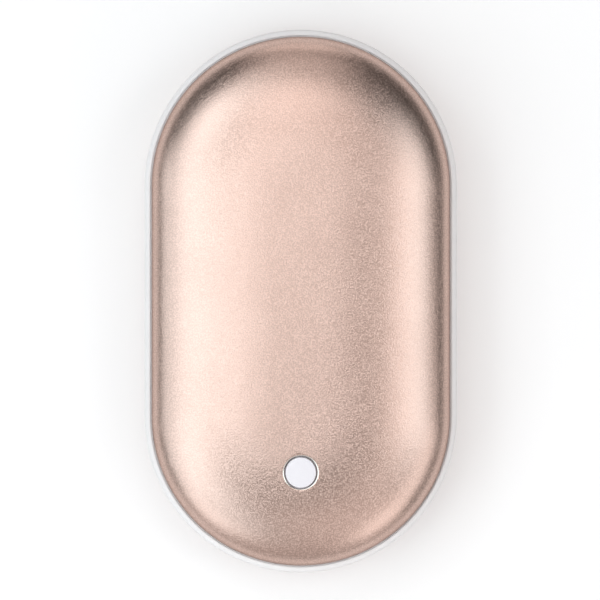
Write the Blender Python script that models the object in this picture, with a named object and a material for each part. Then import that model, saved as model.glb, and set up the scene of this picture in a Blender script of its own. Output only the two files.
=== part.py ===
# Rechargeable hand warmer and power bank, shaped like a long pebble.
# Two drawn aluminium shells close on a plastic mid frame, over two lithium cells, two film
# heaters and a circuit board with its sockets and push switch.
# Lengths are in metres. X runs across the case, Y along it away from the sockets, Z out of the
# front face. The case lies on its rear shell, and the origin is under its middle.

import math

import bmesh
import bpy
from mathutils import Matrix, Vector

# Case
LENGTH = 0.105
WIDTH = 0.0604
HEIGHT = 0.025
BAND_HEIGHT = 0.009
BAND_ROUNDING = 0.001
RIM_PROUD = 0.00135
LIP_HEIGHT = 0.0015
LIP_WALL = 0.001
LIP_FIT = 0.00045
SHELL_WALL = 0.0008
CROWN_FLAT = 0.004
CROWN_SPREAD_POWER = 2.5
CROWN_FALL_POWER = 2.2
SEAL_HEIGHT = 0.0003
SEAL_INSET = 0.0001

# Clearances and overruns
FIT = 0.0003
SEAT = 0.0001
OVERRUN = 0.002
JOIN = 0.0005
MERGE = 0.00001

# Button
CAP_RADIUS = 0.00295
CAP_PROUD = 0.0001
CAP_ROUNDING = 0.0002
CAP_TRAVEL = 0.00025
FLANGE_RADIUS = 0.004
FLANGE_THICK = 0.0008
POST_RADIUS = 0.002
HOLE_CHAMFER = 0.0003

# Bridge that guides the button
BRIDGE_THICK = 0.0013
BRIDGE_DEPTH = 0.01
BRIDGE_LEG_RADIUS = 0.0026
BRIDGE_LEG_INSET = 0.0065

# Sockets
OUTPUT_WIDTH = 0.0131
OUTPUT_HEIGHT = 0.0057
OUTPUT_DEPTH = 0.0131
OUTPUT_WALL = 0.00035
OUTPUT_TONGUE_THICK = 0.00184
OUTPUT_TONGUE_RECESS = 0.0012
OUTPUT_TONGUE_ROOF = 0.0007
OUTPUT_BACK_DEPTH = 0.003
OUTPUT_CONTACT_WIDTH = 0.001
OUTPUT_CONTACT_THICK = 0.0002
OUTPUT_CONTACT_PITCH = 0.0023
CHARGING_WIDTH = 0.0076
CHARGING_HEIGHT = 0.0027
CHARGING_DEPTH = 0.0055
CHARGING_WALL = 0.0003
CHARGING_SLANT = 0.0008
CHARGING_TONGUE_WIDTH = 0.0037
CHARGING_TONGUE_THICK = 0.0006
CHARGING_BACK_DEPTH = 0.0015
PORT_SPACING = 0.0022
LAND_MARGIN = 0.0006
POCKET_MARGIN = 0.00035
POCKET_HEIGHT = 0.007
POCKET_ROUNDING = 0.0012

# Circuit board and what it carries
BOARD_THICK = 0.0016
BOARD_EDGE_ROOM = 0.0014
BOARD_BOSS_WIDTH = 0.0048
BOARD_SCREW_INSET = 0.0022
BOARD_SCREW_EDGE = 0.0044
SWITCH_SIDE = 0.0062
SWITCH_ROOM = 0.0008
SWITCH_HEIGHT = 0.0033
SWITCH_FLOOR = 0.0009
SWITCH_COVER_THICK = 0.0003
SWITCH_WELL_RADIUS = 0.0025
SWITCH_FOOT_RADIUS = 0.0022
SWITCH_FOOT_THICK = 0.0009
SWITCH_STEM_RADIUS = 0.00175
DOME_RADIUS = 0.002
DOME_RISE = 0.0007
DOME_THICK = 0.0002
INDUCTOR_SIDE = 0.0066
INDUCTOR_HEIGHT = 0.0042
INDUCTOR_ROUNDING = 0.0008
CONTROLLER_SIZE = (0.0049, 0.0039, 0.0015)
CHARGER_SIZE = (0.0049, 0.0039, 0.0015)
MOSFET_SIZE = (0.005, 0.006, 0.0011)
CAPACITOR_SIZE = (0.0032, 0.0016, 0.0016)
LED_SIZE = (0.0016, 0.0008, 0.0007)
LED_SPACING = 0.0104
COMPONENT_INSET = 0.0004
COMPONENT_GAP = 0.0006

# Places from the button, as shares of the distance to a bridge leg and of the bridge's depth
CHARGER_PLACE_SHARES = (0.38, -0.25)
MOSFET_PLACE_SHARES = (-0.45, -0.38)
INPUT_CAPACITOR_PLACE_SHARES = (0.54, 0.07)
OUTPUT_CAPACITOR_PLACE_SHARES = (-0.6, 0.12)

# Cells, their tray and strap
CELL_COVER = 0.0033
SADDLE_WEB = 0.0002
CELL_END_ROOM = 0.0019
CELL_CORNER_ROOM = 0.0006
CELL_ROUNDING = 0.0008
NUB_RADIUS = 0.003
NUB_HEIGHT = 0.0008
WASHER_THICK = 0.0003
STRIP_THICK = 0.0002
STRIP_HALF_LENGTH = 0.013
STRIP_HALF_HEIGHT = 0.0022
CRADLE_WALL = 0.0013
CRADLE_END_INSET = 0.0025
STRAP_WIDTH = 0.006
BOSS_CLEARANCE = 0.002
BOSS_REACH = 0.0058
BOSS_HALF_HEIGHT = 0.0026
BOSS_WIDTH = 0.0048
EAR_THICK = 0.0015
EAR_WIDTH = 0.006
CRADLE_SCREW_SHARE = 0.72

# Heaters, foam and leads
FILM_THICK = 0.0003
FILM_HALF_WIDTH = 0.016
FILM_START_ROOM = 0.0003
FOAM_ROOM = 0.0005
FOAM_HALF_WIDTH = 0.012
FOAM_STRAP_ROOM = 0.002
HEATER_LEAD_RADIUS = 0.0005
HEATER_LEAD_OFFSET = 0.012
HEATER_LEAD_PITCH = 0.0026
BATTERY_LEAD_RADIUS = 0.0006
BATTERY_LEAD_OFFSET = 0.006
LEAD_STEP = 0.0015
BEAD_RADIUS = 0.001
SENSOR_LEAD_RADIUS = 0.0004
BEAD_FROM_MIDDLE = 0.009

# Screws
SCREW_RADIUS = 0.001
SCREW_LENGTH = 0.005
BOARD_SCREW_LENGTH = 0.0034
HEAD_RADIUS = 0.0019
HEAD_HEIGHT = 0.0011
HEAD_ROUNDING = 0.0004

# How finely round forms are faceted
TURN_STEPS = 20
SKIN_STEPS = 12
INNER_TURN_STEPS = 10
INNER_SKIN_STEPS = 5
ROUNDING_STEPS = 3
DOME_STEPS = 4
CELL_SIDES = 28
ROUND_SIDES = 24
SCREW_SIDES = 12
SHARP_ANGLE = math.radians(32)
HALF_TURN = math.pi
QUARTER_TURN = math.pi / 2

# The case's outline is a stadium: everything keeps a distance from a straight spine along Y
RADIUS = WIDTH / 2
SPINE = (LENGTH - WIDTH) / 2
MID = HEIGHT / 2
BAND_TOP = MID + BAND_HEIGHT / 2
BAND_BASE = MID - BAND_HEIGHT / 2
EDGE_RADIUS = RADIUS - RIM_PROUD
EDGE_LEVEL = BAND_HEIGHT / 2 + SEAL_HEIGHT
CROWN_REACH = EDGE_RADIUS - CROWN_FLAT
CROWN_RISE = MID - EDGE_LEVEL
LIP_OUTER = EDGE_RADIUS - SHELL_WALL - LIP_FIT
LIP_INNER = LIP_OUTER - LIP_WALL
FRONT = 1
REAR = -1

# Depths under the shells' outer skin
FILM_OUTER = SHELL_WALL + FIT
FILM_INNER = FILM_OUTER + FILM_THICK
CAVITY_DEPTH = FILM_INNER + FIT

# Sockets sit in a flat land, cut square across the band's round end
PORT_SPAN = OUTPUT_WIDTH + PORT_SPACING + CHARGING_WIDTH
LAND_Y = -SPINE - math.sqrt(RADIUS ** 2 - (PORT_SPAN / 2 + LAND_MARGIN) ** 2)
OUTPUT_X = (OUTPUT_WIDTH - PORT_SPAN) / 2
CHARGING_X = (PORT_SPAN - CHARGING_WIDTH) / 2
SOCKET_BASE = MID - OUTPUT_HEIGHT / 2
BOARD_TOP = SOCKET_BASE - SEAT
BOARD_BASE = BOARD_TOP - BOARD_THICK
BOARD_RADIUS = LIP_INNER - FIT

# The switch stands behind the output socket, and the board ends behind the switch's bridge
BUTTON_Y = LAND_Y + OUTPUT_DEPTH + SWITCH_ROOM + SWITCH_SIDE / 2
BOARD_EDGE_Y = BUTTON_Y + BRIDGE_DEPTH / 2 + BOARD_EDGE_ROOM

# Cells lie side by side between the board and the far end of the band. They are as thick as
# the height leaves room for, or the width between the screw bosses
BOSS_INNER = LIP_INNER - BOSS_REACH
CELL_SPAN = BOSS_INNER - BOSS_CLEARANCE
CELL_RADIUS = min(MID - CELL_COVER, (CELL_SPAN - FIT - SADDLE_WEB / 2) / 2)
SADDLE_RADIUS = CELL_RADIUS + FIT
CELL_X = SADDLE_RADIUS + SADDLE_WEB / 2
FOAM_THICK = MID - CAVITY_DEPTH - CELL_RADIUS - FOAM_ROOM
CELL_SIDE = CELL_X + CELL_RADIUS
CELL_START = BOARD_EDGE_Y + CELL_END_ROOM
CELL_END = SPINE + math.sqrt((LIP_INNER - CELL_CORNER_ROOM) ** 2 - CELL_SIDE ** 2)
BOSS_X = (BOSS_INNER + LIP_INNER) / 2
BOSS_BASE = MID - BOSS_HALF_HEIGHT
BOSS_TOP = MID + BOSS_HALF_HEIGHT
PILOT_RADIUS = SCREW_RADIUS + FIT
PILOT_DEPTH = SCREW_LENGTH - EAR_THICK + JOIN
LEAD_LEVEL = MID + math.sqrt((SADDLE_RADIUS + BATTERY_LEAD_RADIUS) ** 2 - CELL_X ** 2)


# Clear the scene

for old in list(bpy.data.objects):
    bpy.data.objects.remove(old)


# Materials: colour, roughness, metallic

FINISHES = {
    "rose_aluminium": ((0.74, 0.50, 0.42), 0.38, 1.0),
    "white_plastic": ((0.86, 0.86, 0.87), 0.35, 0.0),
    "button_plastic": ((0.90, 0.89, 0.92), 0.30, 0.0),
    "seal_rubber": ((0.04, 0.035, 0.03), 0.8, 0.0),
    "black_plastic": ((0.03, 0.03, 0.035), 0.55, 0.0),
    "cell_sleeve": ((0.05, 0.22, 0.55), 0.35, 0.0),
    "washer_paper": ((0.80, 0.78, 0.70), 0.9, 0.0),
    "nickel": ((0.66, 0.64, 0.60), 0.3, 1.0),
    "steel": ((0.56, 0.56, 0.57), 0.3, 1.0),
    "gold_contact": ((0.83, 0.62, 0.26), 0.25, 1.0),
    "board_green": ((0.02, 0.19, 0.09), 0.4, 0.0),
    "ferrite": ((0.09, 0.09, 0.10), 0.7, 0.0),
    "chip_black": ((0.02, 0.02, 0.022), 0.5, 0.0),
    "capacitor_tan": ((0.52, 0.38, 0.24), 0.5, 0.0),
    "led_lens": ((0.92, 0.90, 0.80), 0.2, 0.0),
    "heater_film": ((0.72, 0.36, 0.10), 0.35, 0.0),
    "foam": ((0.10, 0.10, 0.11), 0.95, 0.0),
    "red_wire": ((0.65, 0.03, 0.02), 0.45, 0.0),
    "black_wire": ((0.03, 0.03, 0.03), 0.45, 0.0),
    "white_wire": ((0.80, 0.80, 0.78), 0.45, 0.0),
    "sensor_lead": ((0.75, 0.55, 0.12), 0.5, 0.0),
}


def finish(name):
    """The named material, made when it is first asked for."""
    if name in bpy.data.materials:
        return bpy.data.materials[name]
    colour, roughness, metallic = FINISHES[name]
    made = bpy.data.materials.new(name)
    made.use_nodes = True
    shader = made.node_tree.nodes["Principled BSDF"]
    shader.inputs["Base Color"].default_value = (*colour, 1)
    shader.inputs["Roughness"].default_value = roughness
    shader.inputs["Metallic"].default_value = metallic
    made.diffuse_color = (*colour, 1)
    return made


# Helpers that turn shapes into pieces

def piece(name, shape, finish_name, place=(0, 0, 0), turn=(0, 0, 0)):
    """Make a shape one named piece with its own finish, at its place."""
    mesh = bpy.data.meshes.new(name)
    shape.to_mesh(mesh)
    shape.free()
    return copy_of(mesh, name, finish_name, place, turn)


def copy_of(mesh, name, finish_name, place=(0, 0, 0), turn=(0, 0, 0)):
    """Another piece on a mesh that may be shared."""
    if not mesh.materials:
        mesh.materials.append(finish(finish_name))
        mesh.shade_smooth()
        mesh.set_sharp_from_angle(angle=SHARP_ANGLE)
    made = bpy.data.objects.new(name, mesh)
    made.location = place
    made.rotation_euler = turn
    bpy.context.scene.collection.objects.link(made)
    return made


def tool(name, shape, place=(0, 0, 0), turn=(0, 0, 0)):
    """A shape that only cuts or joins, hidden from renders."""
    made = piece(name, shape, "steel", place, turn)
    made.hide_render = True
    made.display_type = "WIRE"
    return made


def combine(target, operation, other):
    """Cut, join or intersect a piece with another shape."""
    step = target.modifiers.new(other.name, "BOOLEAN")
    step.operation = operation
    step.solver = "EXACT"
    step.object = other


def block(shape, low, high):
    """Add a box between two corners."""
    made = bmesh.ops.create_cube(shape, size=1)["verts"]
    for vert in made:
        vert.co = [high[axis] if vert.co[axis] > 0 else low[axis] for axis in range(3)]
    return made


def rod(shape, start, end, radius, sides=ROUND_SIDES):
    """Add a round bar between two points."""
    start = Vector(start)
    run = Vector(end) - start
    made = bmesh.ops.create_cone(
        shape, cap_ends=True, segments=sides, radius1=radius, radius2=radius, depth=run.length
    )["verts"]
    aim = run.to_track_quat("Z", "Y").to_matrix().to_4x4()
    bmesh.ops.transform(shape, verts=made, matrix=Matrix.Translation(start + run / 2) @ aim)
    return made


def blocks(*corners):
    """A shape of separate boxes, each given by its two corners."""
    shape = bmesh.new()
    for low, high in corners:
        block(shape, low, high)
    return shape


def rods(*bars, sides=ROUND_SIDES):
    """A shape of separate round bars, each given by start, end and radius."""
    shape = bmesh.new()
    for start, end, radius in bars:
        rod(shape, start, end, radius, sides)
    return shape


def rounded_block(low, high, rounding, axis):
    """A box whose edges along one axis are rounded."""
    shape = blocks((low, high))
    along = [edge for edge in shape.edges if runs_along(edge, axis)]
    bmesh.ops.bevel(
        shape, geom=along, offset=rounding, segments=ROUNDING_STEPS, profile=0.5,
        affect="EDGES", material=-1,
    )
    return shape


def runs_along(edge, axis):
    """Whether an edge is parallel to an axis."""
    run = edge.verts[1].co - edge.verts[0].co
    return abs(run[axis]) > MERGE and run.length - abs(run[axis]) < MERGE


def rounded_corner(centre, radius, start, end):
    """Points of a rounded corner, as distance and height, between two angles."""
    steps = range(ROUNDING_STEPS + 1)
    angles = [start + (end - start) * step / ROUNDING_STEPS for step in steps]
    return [
        (centre[0] + radius * math.cos(angle), centre[1] + radius * math.sin(angle))
        for angle in angles
    ]


def profile_edges(shape, outline, base_y, closed):
    """Draw an outline of distances and heights as a wire beside the Z axis."""
    wire = [shape.verts.new((distance, base_y, height)) for distance, height in outline]
    pairs = list(zip(wire, wire[1:]))
    if closed:
        pairs.append((wire[-1], wire[0]))
    return wire + [shape.edges.new(pair) for pair in pairs]


def turned(outline, sides=ROUND_SIDES, closed=False):
    """Turn an outline of distances and heights round the Z axis."""
    shape = bmesh.new()
    wire = profile_edges(shape, outline, 0, closed)
    bmesh.ops.spin(
        shape, geom=wire, cent=(0, 0, 0), axis=(0, 0, 1), angle=2 * HALF_TURN, steps=sides,
        use_merge=True,
    )
    return closed_up(shape)


def closed_up(shape):
    """Merge the points that meet and face the skin outwards."""
    bmesh.ops.remove_doubles(shape, verts=shape.verts, dist=MERGE)
    bmesh.ops.recalc_face_normals(shape, faces=shape.faces)
    return shape


def racetrack(outline, closed=False, steps=TURN_STEPS):
    """Sweep an outline of distances from the spine and heights round the case."""
    shape = bmesh.new()
    front = profile_edges(shape, outline, SPINE, closed)
    for end in (1, -1):
        turn = bmesh.ops.spin(
            shape, geom=front, cent=(0, end * SPINE, 0), axis=(0, 0, 1), angle=HALF_TURN,
            steps=steps,
        )["geom_last"]
        edges = [part for part in turn if isinstance(part, bmesh.types.BMEdge)]
        run = bmesh.ops.extrude_edge_only(shape, edges=edges)["geom"]
        verts = [part for part in run if isinstance(part, bmesh.types.BMVert)]
        bmesh.ops.translate(shape, verts=verts, vec=(0, -2 * end * SPINE, 0))
        front = [part for part in run if not isinstance(part, bmesh.types.BMFace)]
    return closed_up(shape)


def duct(low, high, wall, slant=0):
    """A rectangular tube along Y, with its two lower corners slanted if asked."""
    shape = blocks((low, high))
    if slant:
        lower = [
            edge for edge in shape.edges
            if runs_along(edge, 1) and edge.verts[0].co.z < (low[2] + high[2]) / 2
        ]
        bmesh.ops.bevel(
            shape, geom=lower, offset=slant, segments=1, profile=0.5, affect="EDGES", material=-1
        )
    shape.normal_update()
    ends = [face for face in shape.faces if abs(face.normal.y) > 0.5]
    bmesh.ops.inset_individual(shape, faces=ends, thickness=wall)
    loops = [edge for face in ends for edge in face.edges]
    bmesh.ops.delete(shape, geom=ends, context="FACES_ONLY")
    bmesh.ops.bridge_loops(shape, edges=loops)
    return closed_up(shape)


# Forms that the case is worked out from

def crown_height(distance):
    """Height of the front shell's outer skin at a distance from the spine."""
    out = max(distance - CROWN_FLAT, 0) / CROWN_REACH
    rise = (1 - out ** CROWN_SPREAD_POWER) ** (1 / CROWN_FALL_POWER)
    return MID + EDGE_LEVEL + CROWN_RISE * rise


def crown_slope(distance):
    """Angle at which the front shell's skin falls away at a distance from the spine."""
    drop = crown_height(distance - CAP_RADIUS) - crown_height(distance + CAP_RADIUS)
    return math.atan(drop / (2 * CAP_RADIUS))


def skin(depth, side, reach=EDGE_RADIUS, steps=SKIN_STEPS):
    """Points from a shell's crown out to a reach, at a depth under its outer face."""
    share = ((reach - CROWN_FLAT) / CROWN_REACH) ** (CROWN_SPREAD_POWER / 2)
    last = math.asin(share)
    points = [(0, MID + side * (MID - depth))]
    for step in range(steps + 1):
        angle = last * step / steps
        out = math.sin(angle) ** (2 / CROWN_SPREAD_POWER)
        up = max(math.cos(angle), 0) ** (2 / CROWN_FALL_POWER)
        lean_out = CROWN_SPREAD_POWER * out ** (CROWN_SPREAD_POWER - 1) / CROWN_REACH
        lean_up = CROWN_FALL_POWER * up ** (CROWN_FALL_POWER - 1) / CROWN_RISE
        lean = Vector((lean_out, lean_up)).normalized()
        distance = CROWN_FLAT + CROWN_REACH * out - depth * lean.x
        height = EDGE_LEVEL + CROWN_RISE * up - depth * lean.y
        points.append((distance, MID + side * height))
    return points


def layer(outer, inner, side, reach):
    """A thin layer inside a shell between two depths, out to a reach."""
    steps = INNER_SKIN_STEPS
    outline = skin(outer, side, reach, steps) + skin(inner, side, reach, steps)[::-1]
    return racetrack(outline, steps=INNER_TURN_STEPS)


def cavity(depth):
    """The whole room inside both shells, at a depth under their skins."""
    steps = 2 * INNER_SKIN_STEPS
    outline = skin(depth, FRONT, steps=steps) + skin(depth, REAR, steps=steps)[::-1]
    return racetrack(outline, steps=INNER_TURN_STEPS)


def washer(inner, outer, base, top):
    """Outline of a flat ring."""
    return [(inner, base), (inner, top), (outer, top), (outer, base)]


# Shells, seals and mid frame

def shell(side):
    """A drawn shell: its outer skin, its cut edge and its inner skin."""
    return racetrack(skin(0, side) + skin(SHELL_WALL, side)[::-1])


def make_shells():
    """The two drawn shells. The front one has the button's hole, chamfered square to its skin."""
    front = piece("front_shell", shell(FRONT), "rose_aluminium")
    piece("rear_shell", shell(REAR), "rose_aluminium")
    from_spine = -BUTTON_Y - SPINE
    top = crown_height(from_spine)
    hole = CAP_RADIUS + FIT
    bore = rods(((0, BUTTON_Y, top - OVERRUN), (0, BUTTON_Y, top + OVERRUN), hole))
    combine(front, "DIFFERENCE", tool("button_hole", bore))
    countersink = turned([
        (0, -HOLE_CHAMFER - hole), (hole + HOLE_CHAMFER + OVERRUN, OVERRUN), (0, OVERRUN)
    ])
    tilt = (crown_slope(from_spine), 0, 0)
    combine(
        front, "DIFFERENCE",
        tool("button_countersink", countersink, (0, BUTTON_Y, top), tilt),
    )


def make_seals():
    """A thin seal ring under each shell's edge."""
    outer = EDGE_RADIUS - SEAL_INSET
    inner = LIP_OUTER + FIT
    for name, base in (("front_seal", BAND_TOP), ("rear_seal", BAND_BASE - SEAL_HEIGHT)):
        outline = washer(inner, outer, base, base + SEAL_HEIGHT)
        piece(name, racetrack(outline, closed=True), "seal_rubber")


def band_outline():
    """Section of the band, with a lip that registers each shell."""
    corner = RADIUS - BAND_ROUNDING
    upper = [
        (LIP_INNER, BAND_TOP + LIP_HEIGHT), (LIP_OUTER, BAND_TOP + LIP_HEIGHT),
        (LIP_OUTER, BAND_TOP),
    ]
    upper += rounded_corner((corner, BAND_TOP - BAND_ROUNDING), BAND_ROUNDING, QUARTER_TURN, 0)
    lower = [(distance, HEIGHT - height) for distance, height in reversed(upper)]
    return upper + lower


def boss_places():
    """Where the band's screw bosses stand along the case, at each side."""
    cradle = CRADLE_SCREW_SHARE * SPINE
    return [(side * BOSS_X, along) for along in (-cradle, 0, cradle) for side in (-1, 1)]


def board_screw_places():
    """The board's two screws, on bosses at the band's sides."""
    along = BOARD_EDGE_Y - BOARD_SCREW_EDGE
    across = board_reach(along) - BOARD_SCREW_INSET
    return [(-across, along), (across, along)]


def make_mid_frame():
    """The white band with its screw bosses, the socket land and the socket mouths."""
    frame = piece("mid_frame", racetrack(band_outline(), closed=True), "white_plastic")
    half = BOSS_WIDTH / 2
    corners = []
    for across, along in boss_places():
        near, far = sorted((math.copysign(BOSS_INNER, across), math.copysign(RADIUS, across)))
        corners.append(((near, along - half, BOSS_BASE), (far, along + half, BOSS_TOP)))
    half = BOARD_BOSS_WIDTH / 2
    for across, along in board_screw_places():
        inner = abs(across) - half
        near, far = sorted((math.copysign(inner, across), math.copysign(RADIUS, across)))
        base = BAND_BASE - LIP_HEIGHT - SEAT
        corners.append(((near, along - half, base), (far, along + half, BOARD_BASE - SEAT)))
    bosses = tool("boss_blocks", blocks(*corners))
    reach = (LIP_INNER + LIP_OUTER) / 2
    limit = racetrack([(0, BAND_TOP), (reach, BAND_TOP), (reach, 0), (0, 0)])
    combine(bosses, "INTERSECT", tool("boss_limit", limit))
    combine(frame, "UNION", bosses)
    combine(frame, "DIFFERENCE", tool("boss_pilots", boss_pilots()))
    for cutter in port_cutters():
        combine(frame, "DIFFERENCE", cutter)


def boss_pilots():
    """Pilot holes: up into the cradle's bosses, down into the strap's, through the board's."""
    bars = []
    for across, along in boss_places():
        low = BOSS_TOP - PILOT_DEPTH if along == 0 else BOSS_BASE - JOIN
        high = BOSS_TOP + JOIN if along == 0 else BOSS_BASE + PILOT_DEPTH
        bars.append(((across, along, low), (across, along, high), PILOT_RADIUS))
    for across, along in board_screw_places():
        low = BAND_BASE - LIP_HEIGHT - OVERRUN
        bars.append(((across, along, low), (across, along, BOARD_BASE + JOIN), PILOT_RADIUS))
    return rods(*bars, sides=SCREW_SIDES)


def port_cutters():
    """Cutters for the socket pocket and the two mouths through the band."""
    outside = -LENGTH / 2 - OVERRUN
    half_width = PORT_SPAN / 2 + POCKET_MARGIN
    half_height = POCKET_HEIGHT / 2
    pocket = rounded_block(
        (-half_width, outside, MID - half_height), (half_width, LAND_Y, MID + half_height),
        POCKET_ROUNDING, 1,
    )
    half = OUTPUT_WIDTH / 2 + FIT
    output = rounded_block(
        (OUTPUT_X - half, LAND_Y - JOIN, SOCKET_BASE - FIT),
        (OUTPUT_X + half, LAND_Y + OUTPUT_DEPTH, SOCKET_BASE + OUTPUT_HEIGHT + FIT), FIT, 1,
    )
    half = CHARGING_WIDTH / 2 + FIT
    charging = rounded_block(
        (CHARGING_X - half, LAND_Y - JOIN, SOCKET_BASE - FIT),
        (CHARGING_X + half, LAND_Y + CHARGING_DEPTH, SOCKET_BASE + CHARGING_HEIGHT + FIT), FIT, 1,
    )
    return [
        tool("port_pocket", pocket), tool("output_mouth", output), tool("charging_mouth", charging)
    ]


# Button, its bridge and the switch below it

def button_levels():
    """Heights of the button cap's top, flange and foot."""
    from_spine = -BUTTON_Y - SPINE
    top = crown_height(from_spine) + CAP_PROUD
    flange_top = crown_height(from_spine + FLANGE_RADIUS) - SHELL_WALL - FIT
    foot = stem_top() + SEAT
    return top, flange_top, flange_top - FLANGE_THICK, foot


def stem_top():
    """Height of the switch stem's top, about midway from the board to the crown."""
    return (BOARD_TOP + HEIGHT) / 2 - SHELL_WALL


def make_button():
    """The cap: a disc in the shell's hole, a flange under it and a post down to the switch."""
    top, flange_top, flange_base, foot = button_levels()
    origin = top
    corner = (CAP_RADIUS - CAP_ROUNDING, top - CAP_ROUNDING)
    outline = [(0, top)]
    outline += rounded_corner(corner, CAP_ROUNDING, QUARTER_TURN, 0)
    outline += [
        (CAP_RADIUS, flange_top), (FLANGE_RADIUS, flange_top), (FLANGE_RADIUS, flange_base),
        (POST_RADIUS, flange_base), (POST_RADIUS, foot), (0, foot),
    ]
    outline = [(distance, height - origin) for distance, height in outline]
    piece("button_cap", turned(outline), "button_plastic", (0, BUTTON_Y, origin))


def leg_places():
    """The bridge's two legs, either side of the button."""
    across = board_reach(BUTTON_Y) - BRIDGE_LEG_INSET
    return [(-across, BUTTON_Y), (across, BUTTON_Y)]


def make_bridge():
    """A plate over the board with a bore for the cap's post, on two legs."""
    flange_base = button_levels()[2]
    top = flange_base - CAP_TRAVEL - FIT
    base = top - BRIDGE_THICK
    half_width = leg_places()[1][0] + BRIDGE_LEG_RADIUS
    half_depth = BRIDGE_DEPTH / 2
    plate = rounded_block(
        (-half_width, BUTTON_Y - half_depth, base), (half_width, BUTTON_Y + half_depth, top),
        BRIDGE_LEG_RADIUS, 2,
    )
    bridge = piece("button_bridge", plate, "black_plastic")
    legs = [
        ((x, y, BOARD_TOP + SEAT), (x, y, base + BRIDGE_THICK / 2), BRIDGE_LEG_RADIUS)
        for x, y in leg_places()
    ]
    combine(bridge, "UNION", tool("bridge_legs", rods(*legs)))
    combine(bridge, "INTERSECT", tool("bridge_room", cavity(SHELL_WALL + FIT)))
    bars = [
        ((x, y, BOARD_TOP - JOIN), (x, y, BOARD_TOP + SCREW_LENGTH), PILOT_RADIUS)
        for x, y in leg_places()
    ]
    bars.append((
        (0, BUTTON_Y, base - JOIN), (0, BUTTON_Y, top + JOIN), POST_RADIUS + FIT
    ))
    combine(bridge, "DIFFERENCE", tool("bridge_bores", rods(*bars)))


def make_switch():
    """A push switch on the board: body, sheet cover, stem and the snap dome under it."""
    base = BOARD_TOP + SEAT
    half = SWITCH_SIDE / 2
    floor = SWITCH_FLOOR
    body = piece(
        "switch_body", blocks(((-half, -half, 0), (half, half, SWITCH_HEIGHT))),
        "chip_black", (0, BUTTON_Y, base),
    )
    well = rods(((0, BUTTON_Y, base + floor), (0, BUTTON_Y, base + SWITCH_HEIGHT + JOIN),
                 SWITCH_WELL_RADIUS))
    combine(body, "DIFFERENCE", tool("switch_well", well))
    cover_base = base + SWITCH_HEIGHT + SEAT
    cover = piece(
        "switch_cover", blocks(((-half, -half, 0), (half, half, SWITCH_COVER_THICK))),
        "steel", (0, BUTTON_Y, cover_base),
    )
    hole = rods(((0, BUTTON_Y, cover_base - JOIN),
                 (0, BUTTON_Y, cover_base + SWITCH_COVER_THICK + JOIN), SWITCH_STEM_RADIUS + FIT))
    combine(cover, "DIFFERENCE", tool("switch_cover_hole", hole))
    foot_top = cover_base - FIT
    rise = stem_top() - foot_top
    stem = [
        (0, rise), (SWITCH_STEM_RADIUS, rise), (SWITCH_STEM_RADIUS, 0), (SWITCH_FOOT_RADIUS, 0),
        (SWITCH_FOOT_RADIUS, -SWITCH_FOOT_THICK), (0, -SWITCH_FOOT_THICK),
    ]
    piece("switch_stem", turned(stem), "chip_black", (0, BUTTON_Y, foot_top))
    dome = turned(dome_outline(), SCREW_SIDES)
    piece("switch_dome", dome, "nickel", (0, BUTTON_Y, base + floor + SEAT))


def dome_outline():
    """Section of the snap dome: an even sheet, bowed up from its rim."""
    outer = [bow(step, DOME_THICK) for step in range(DOME_STEPS + 1)]
    inner = [bow(step, 0) for step in range(DOME_STEPS + 1)]
    return outer + inner[::-1]


def bow(step, lift):
    """A point of the dome's sheet, from the middle out to the rim."""
    share = step / DOME_STEPS
    return DOME_RADIUS * share, lift + DOME_RISE * (1 - share ** 2)


# Sockets

def make_output_socket():
    """The output socket: sheet shell, a tongue on its back block and four contacts."""
    half = OUTPUT_WIDTH / 2
    top = OUTPUT_HEIGHT - OUTPUT_WALL
    place = (OUTPUT_X, LAND_Y, SOCKET_BASE)
    piece(
        "output_socket_shell",
        duct((-half, 0, 0), (half, OUTPUT_DEPTH, OUTPUT_HEIGHT), OUTPUT_WALL), "steel", place,
    )
    inner = half - OUTPUT_WALL - FIT
    back_start = OUTPUT_DEPTH - OUTPUT_BACK_DEPTH
    tongue = piece(
        "output_socket_tongue",
        blocks(((-inner, back_start, OUTPUT_WALL + SEAT), (inner, OUTPUT_DEPTH, top - SEAT))),
        "white_plastic", place,
    )
    blade_top = top - OUTPUT_TONGUE_ROOF
    blade_base = blade_top - OUTPUT_TONGUE_THICK
    blade = blocks((
        (-inner + OUTPUT_WALL, OUTPUT_TONGUE_RECESS, blade_base),
        (inner - OUTPUT_WALL, OUTPUT_DEPTH - OUTPUT_BACK_DEPTH / 2, blade_top),
    ))
    combine(tongue, "UNION", tool("output_socket_blade", blade, place))
    width = OUTPUT_CONTACT_WIDTH / 2
    contact = blocks((
        (-width, 2 * OUTPUT_TONGUE_RECESS, -OUTPUT_CONTACT_THICK), (width, back_start - SEAT, 0)
    ))
    mesh = bpy.data.meshes.new("output_socket_contact")
    contact.to_mesh(mesh)
    contact.free()
    for number in range(4):
        across = OUTPUT_X + (number - 1.5) * OUTPUT_CONTACT_PITCH
        copy_of(
            mesh, f"output_socket_contact_{number + 1}", "gold_contact",
            (across, LAND_Y, SOCKET_BASE + blade_base - SEAT),
        )


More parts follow.
